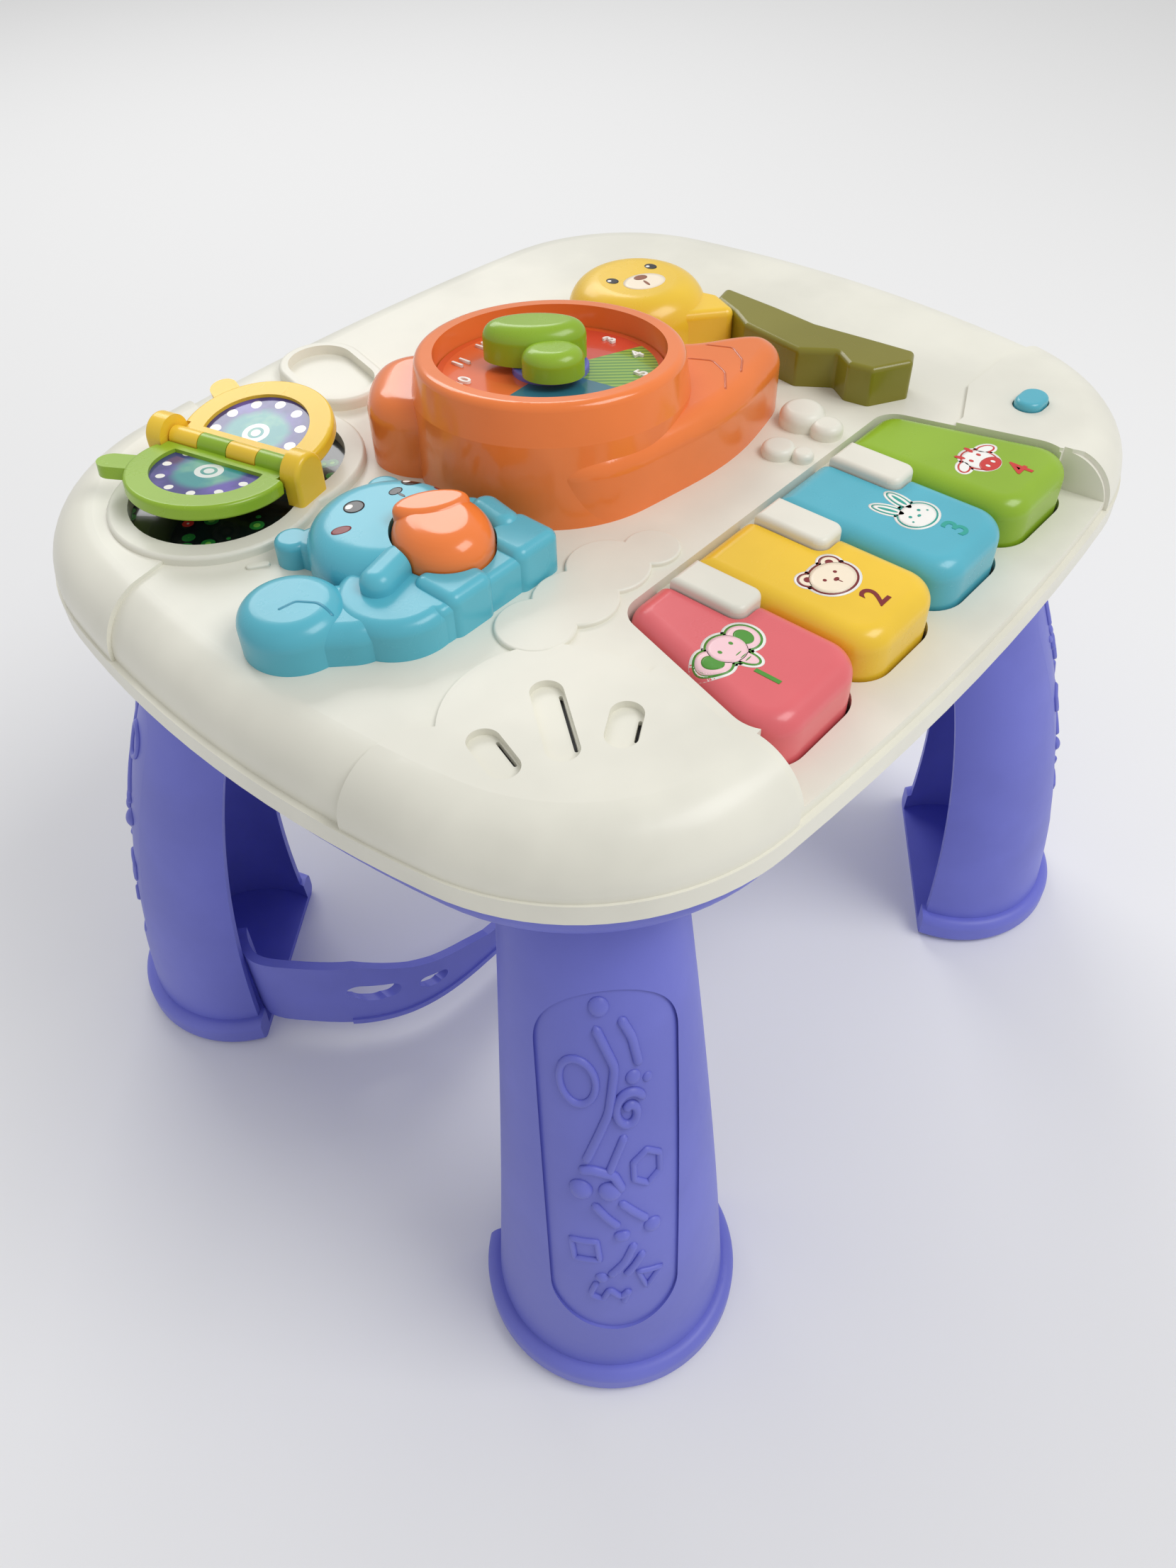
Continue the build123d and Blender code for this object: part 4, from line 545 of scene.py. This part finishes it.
# Squirrel's face: printed eyes, nose, mouth and cheeks, and a painted highlight in each eye
squirrel = Picture("squirrel_print_and_eye_highlights", "table", "squirrel_body")
for x, y in ((-93.3, 14.4), (-73.1, 12.2)):
    squirrel.oval("black", x, y, 3.3, 2.9, 10.0, 0)
    # white spot: painted highlight on the eye
    squirrel.oval("white", x - 1.0, y + 1.0, 1.3, 1.0, 10.0, 1)
squirrel.oval("black", -80.3, 11.1, 2.3, 1.6, 0.0, 0)
squirrel.oval("black", -80.5, 8.5, 0.5, 1.6, 0.0, 0)
squirrel.oval("maroon", -103.2, 8.5, 3.0, 1.7, -20.0, 0)
squirrel.oval("maroon", -68.9, 4.8, 2.4, 1.5, 20.0, 0)
squirrel.make()

# Rear figure's face, with a painted highlight in each eye
face = Picture("figure_print_and_eye_highlights", "table", "figure_head")
face.oval("cream", 64.0, 36.0, 8.0, 6.0, -20.0, 0)
face.oval("brown", 65.5, 39.0, 2.6, 1.8, -20.0, 1)
face.oval("brown", 63.6, 34.6, 0.6, 2.2, -20.0, 1)
for x, y in ((57.0, 45.0), (75.0, 42.0)):
    face.oval("black", x, y, 2.0, 2.4, 0.0, 1)
    # white spot: painted highlight on the eye
    face.oval("white", x - 0.7, y + 0.8, 0.7, 0.7, 0.0, 2)
face.make()


# Raised strings and balls on the legs
FOOT = (128.7, 109.6)
LEAN = (29.3, 33.5)
LEAN_POWER = 2.41
LEG_HEIGHT = 217.0
FOOT_RADIUS = 41.5
TAPER = 16.5
PANEL_FOOT = 41.0
PANEL_STRETCH = 1.22
PANEL_SPREAD = 1.17
OUTWARD = math.atan2(FOOT[1], FOOT[0]) + math.radians(4.0)
LEG_SURFACE = ground_of("leg_rear_right")
FAR_OUT = 80.0
SINK = 0.15  # depth to which a bead or a ball reaches into its solid


def leg_points(run, up, lift):
    """Points over the rear right leg's outer face: its axis leans with a power of the height, its radius
    shrinks evenly, and along each ray from the axis the leg's own surface is looked up and the lift added."""
    t = up / LEG_HEIGHT
    lean = t**LEAN_POWER
    axis = np.stack([FOOT[0] - LEAN[0] * lean, FOOT[1] - LEAN[1] * lean, up], -1)
    turn = OUTWARD + run / (FOOT_RADIUS - TAPER * t)
    ray = np.stack([np.cos(turn), np.sin(turn), np.zeros_like(turn)], -1)
    starts = (axis + ray * FAR_OUT) * MM
    hits = [LEG_SURFACE.ray_cast(Vector(a), Vector(-b))[3] for a, b in zip(starts, ray)]
    reach = FAR_OUT - np.array(hits) / MM + lift
    return axis + ray * reach[:, None]


def smooth_line(points, count):
    """Even steps along a chain of points, rounded by averaging neighbours three times."""
    points = np.asarray(points, float)
    lengths = np.concatenate([[0.0], np.cumsum(np.hypot(*np.diff(points, axis=0).T))])
    steps = np.linspace(0.0, lengths[-1], count)
    line = np.stack([np.interp(steps, lengths, points[:, k]) for k in (0, 1)], 1)
    for _ in range(3):
        line[1:-1] = (line[:-2] + 2.0 * line[1:-1] + line[2:]) / 4.0
    return line


def on_panel(line):
    """A flat line spread and stretched to fill the leg's sunk panel."""
    return line * (PANEL_SPREAD, PANEL_STRETCH) + (0.0, PANEL_FOOT * (1.0 - PANEL_STRETCH))


def bead_mesh(line, width, height, closed, place=leg_points):
    """Half-round bead along a flat line that place lays on a solid: its section is a low arch."""
    count = len(line)
    if closed:
        ahead = np.roll(line, -1, 0) - np.roll(line, 1, 0)
    else:
        ahead = np.gradient(line, axis=0)
    ahead = ahead / np.linalg.norm(ahead, axis=1, keepdims=True)
    side = np.stack([-ahead[:, 1], ahead[:, 0]], 1)
    arch = np.linspace(0.0, math.pi, 7)
    taper = np.ones(count)
    if not closed:
        position = np.linspace(0.0, 1.0, count)
        length = np.linalg.norm(np.diff(line, axis=0), axis=1).sum()
        edge = np.minimum(position, 1.0 - position) * length / (width / 2.0)
        taper = np.sqrt(np.clip(1.0 - (1.0 - np.clip(edge, 0.02, 1.0)) ** 2, 0.0, 1.0))
    rows = []
    for a in arch:
        flat = line + side * (math.cos(a) * width / 2.0 * taper)[:, None]
        lift = -SINK + (math.sin(a) * (height + SINK)) * taper
        rows.append(place(flat[:, 0], flat[:, 1], lift))
    points = np.concatenate(rows)
    faces = []
    for k in range(len(arch)):
        n = (k + 1) % len(arch)
        for i in range(count if closed else count - 1):
            j = (i + 1) % count
            faces.append((k * count + i, k * count + j, n * count + j, n * count + i))
    if not closed:
        faces.append(tuple(k * count for k in range(len(arch))))
        faces.append(tuple(k * count + count - 1 for k in reversed(range(len(arch)))))
    return points, faces


def ring_line(x, z, radius_x, radius_z, corners=0, turn=0.0):
    """Closed line: a circle, or a polygon when corners is given."""
    if corners:
        angles = np.radians(turn) + np.arange(corners) * 2.0 * math.pi / corners
        ends = np.stack([x + radius_x * np.cos(angles), z + radius_z * np.sin(angles)], 1)
        share = np.linspace(0.0, 1.0, 8, endpoint=False)[:, None]
        return np.concatenate([ends[i] + (ends[(i + 1) % corners] - ends[i]) * share for i in range(corners)])
    angles = np.linspace(0.0, 2.0 * math.pi, 28, endpoint=False)
    return np.stack([x + radius_x * np.cos(angles), z + radius_z * np.sin(angles)], 1)


def spiral_line(x, z, radius_x, radius_z, turns):
    """Open line: a circle whose radius shrinks evenly to a fifth while the angle runs through the turns."""
    share = np.linspace(0.0, 1.0, 48)
    angles = math.radians(20.0) + share * turns * 2.0 * math.pi
    shrink = 1.0 - 0.8 * share
    return np.stack([x + radius_x * shrink * np.cos(angles), z + radius_z * shrink * np.sin(angles)], 1)


# Flat lines of the relief, from (run across the leg, height); the bead's width and height; closed or not
LEG_LINES = [
    (smooth_line([(-1.8, 150), (2.4, 139), (0.3, 126.5), (-6.6, 110.5)], 44), 3.0, 1.5, False),
    (smooth_line([(4.4, 151.5), (7.0, 146), (8.5, 138)], 24), 3.0, 1.5, False),
    (spiral_line(5.3, 126, 4.4, 6.2, 1.35), 2.8, 1.7, False),
    (smooth_line([(3.9, 119), (1.5, 113), (-0.8, 107)], 20), 2.8, 1.4, False),
    (smooth_line([(-8.5, 107.7), (-5.0, 108.6), (0.5, 106.8), (2.6, 101)], 28), 3.2, 1.7, False),
    (smooth_line([(-5.3, 96.5), (-2.0, 91.5), (1.3, 87.6)], 20), 3.0, 1.4, False),
    (smooth_line([(1.7, 97), (5.4, 92.5), (9.0, 88.2)], 20), 3.0, 1.4, False),
    (smooth_line([(-0.3, 83.8), (4.1, 84.6)], 16), 4.2, 1.9, False),
    (smooth_line([(5.3, 80), (2.6, 73), (-1.9, 67)], 24), 3.0, 1.4, False),
    (smooth_line([(7.7, 75.7), (5.2, 71), (2.4, 67)], 18), 2.8, 1.4, False),
    (
        smooth_line([(-5.5, 64), (-7.5, 58), (-4, 56), (-2, 61), (1, 57), (3.5, 60), (1.5, 54)], 48),
        2.3,
        1.4,
        False,
    ),
    (ring_line(-7.1, 134.8, 4.6, 6.2), 2.4, 1.3, True),
    (ring_line(9.4, 107, 4.2, 5.6, 6, 30.0), 2.2, 1.2, True),
    (ring_line(-8.2, 77.6, 5.0, 5.4, 4, 50.0), 2.2, 1.2, True),
    (ring_line(9.0, 64.5, 3.9, 4.8, 3, 20.0), 2.0, 1.2, True),
]
# Balls of the relief: run across the leg, height, radius
LEG_BALLS = [
    (-0.5, 154.8, 3.0),
    (6.8, 135.2, 2.4),
    (10.6, 133.7, 1.6),
    (-8.3, 101.2, 3.8),
    (-0.6, 101.2, 3.8),
    (10.4, 85.5, 3.0),
    (-4.0, 66.2, 2.3),
]


def ball_mesh(run, up, radius, around=16, rows=6):
    """Flattened dome: rings of falling radius and rising lift, closed at its foot and at its top."""
    angles = np.linspace(0.0, 2.0 * math.pi, around, endpoint=False)
    points = []
    for slope in np.linspace(0.0, 1.45, rows):
        ring = radius * math.cos(slope)
        lift = np.full(around, -SINK + (radius * 0.62 + SINK) * math.sin(slope))
        points.append(leg_points(run + ring * np.cos(angles), up + ring * np.sin(angles), lift))
    top = (rows - 1) * around
    faces = [
        (k + i, k + (i + 1) % around, k + around + (i + 1) % around, k + around + i)
        for k in range(0, top, around)
        for i in range(around)
    ]
    faces.append(tuple(range(top, top + around)))
    faces.append(tuple(reversed(range(around))))
    return np.concatenate(points), faces


relief = [bead_mesh(on_panel(line), *rest) for line, *rest in LEG_LINES]
for run, up, radius in LEG_BALLS:
    relief.append(ball_mesh(*on_panel(np.array((run, up))), radius))
relief_points, relief_faces = joined(relief)
for name, mirror in (
    ("leg_relief_front_left", (-1.0, -1.0, 1.0)),
    ("leg_relief_front_right", (1.0, -1.0, 1.0)),
    ("leg_relief_rear_left", (-1.0, 1.0, 1.0)),
    ("leg_relief_rear_right", (1.0, 1.0, 1.0)),
):
    face_outwards(piece(name, np.array(relief_points) * mirror, relief_faces, purple, "table"))


# Fine moulded lines on the dial housing and on the squirrel's tail, in a darker colour that paints the shade
# of a groove
def line_work(name, node, lines, width, height, material):
    """Low beads along lines of table coordinates, each point laid on the solid straight below it."""
    ground = ground_of(node)

    def from_above(x, y, lift):
        return np.stack([x, y, heights(ground, x, y) + lift], -1)

    beads = [bead_mesh(smooth_line(line, 40), width, height, False, from_above) for line in lines]
    face_outwards(piece(name, *joined(beads), material, "table"))


line_work(
    "housing_lines",
    "dial_housing",
    [
        [(25.5, -12.5), (29.5, -20.0), (26.0, -27.5), (17.5, -34.0)],
        [(36.5, -11.5), (40.5, -20.0), (36.0, -27.0), (29.0, -31.5)],
    ],
    0.9,
    0.2,
    orange_painted_groove_shade,
)
line_work(
    "squirrel_lines",
    "squirrel_body",
    [[(-135.5, -2.8), (-130.0, -3.6), (-126.8, -8.4), (-126.6, -14.5)]],
    1.1,
    0.2,
    sky_painted_groove_shade,
)

# Floor
floor_mesh = bpy.data.meshes.new("studio_floor")
reach = 6.0
corners = [(-reach, -reach, 0.0), (reach, -reach, 0.0), (reach, reach, 0.0), (-reach, reach, 0.0)]
floor_mesh.from_pydata(corners, [], [(0, 1, 2, 3)])
pale = Shader("studio floor")
pale.set(Base_Color=tone(240, 240, 240), Roughness=0.9, Specular_IOR_Level=0.1)
floor_mesh.materials.append(pale.material)
put("studio_floor", floor_mesh)

# Light
world = bpy.data.worlds.new("studio")
bpy.context.scene.world = world
world.use_nodes = True
background = world.node_tree.nodes["Background"]
background.inputs["Color"].default_value = (1.0, 1.0, 1.0, 1.0)
background.inputs["Strength"].default_value = 0.57


def softbox(name, spot, target, size, power):
    """Rectangular lamp at a spot, turned to a target; size in metres, power in watts."""
    light = bpy.data.lights.new(name, "AREA")
    light.shape = "RECTANGLE"
    light.size, light.size_y = size
    light.energy = power
    holder = put(name, light)
    holder.location = spot
    holder.rotation_euler = (Vector(target) - Vector(spot)).to_track_quat("-Z", "Y").to_euler()


softbox("key_light", (0.3, -0.9, 1.5), (0.0, 0.0, 0.2), (0.9, 0.7), 10.5)
softbox("back_light", (0.7, 1.3, 1.3), (0.0, 0.0, 0.2), (1.2, 0.6), 8.5)

# Camera at the photograph's place
PHOTO_HEIGHT = 2212.0  # pixels
FOCUS = 1684.5  # focal length in pixels
SENSOR = 36.0
YAW, PITCH, ROLL = 0.732, 0.816, -0.025  # radians
EYE = (-0.2665, -0.2279, 0.4629)
ahead = Vector((math.cos(YAW) * math.cos(PITCH), math.sin(YAW) * math.cos(PITCH), -math.sin(PITCH)))
right = Vector((math.sin(YAW), -math.cos(YAW), 0.0))
above = right.cross(ahead)
rolled_right = math.cos(ROLL) * right + math.sin(ROLL) * above
rolled_above = -math.sin(ROLL) * right + math.cos(ROLL) * above
lens = bpy.data.cameras.new("photo_camera")
lens.sensor_width = SENSOR
lens.lens = FOCUS * SENSOR / PHOTO_HEIGHT
lens.clip_start = 0.01
lens.clip_end = 50.0
camera = put("photo_camera", lens)
turn = Matrix((rolled_right, rolled_above, -ahead)).transposed()
camera.matrix_world = Matrix.Translation(EYE) @ turn.to_4x4()
bpy.context.scene.camera = camera
bpy.context.scene.view_settings.view_transform = "Standard"
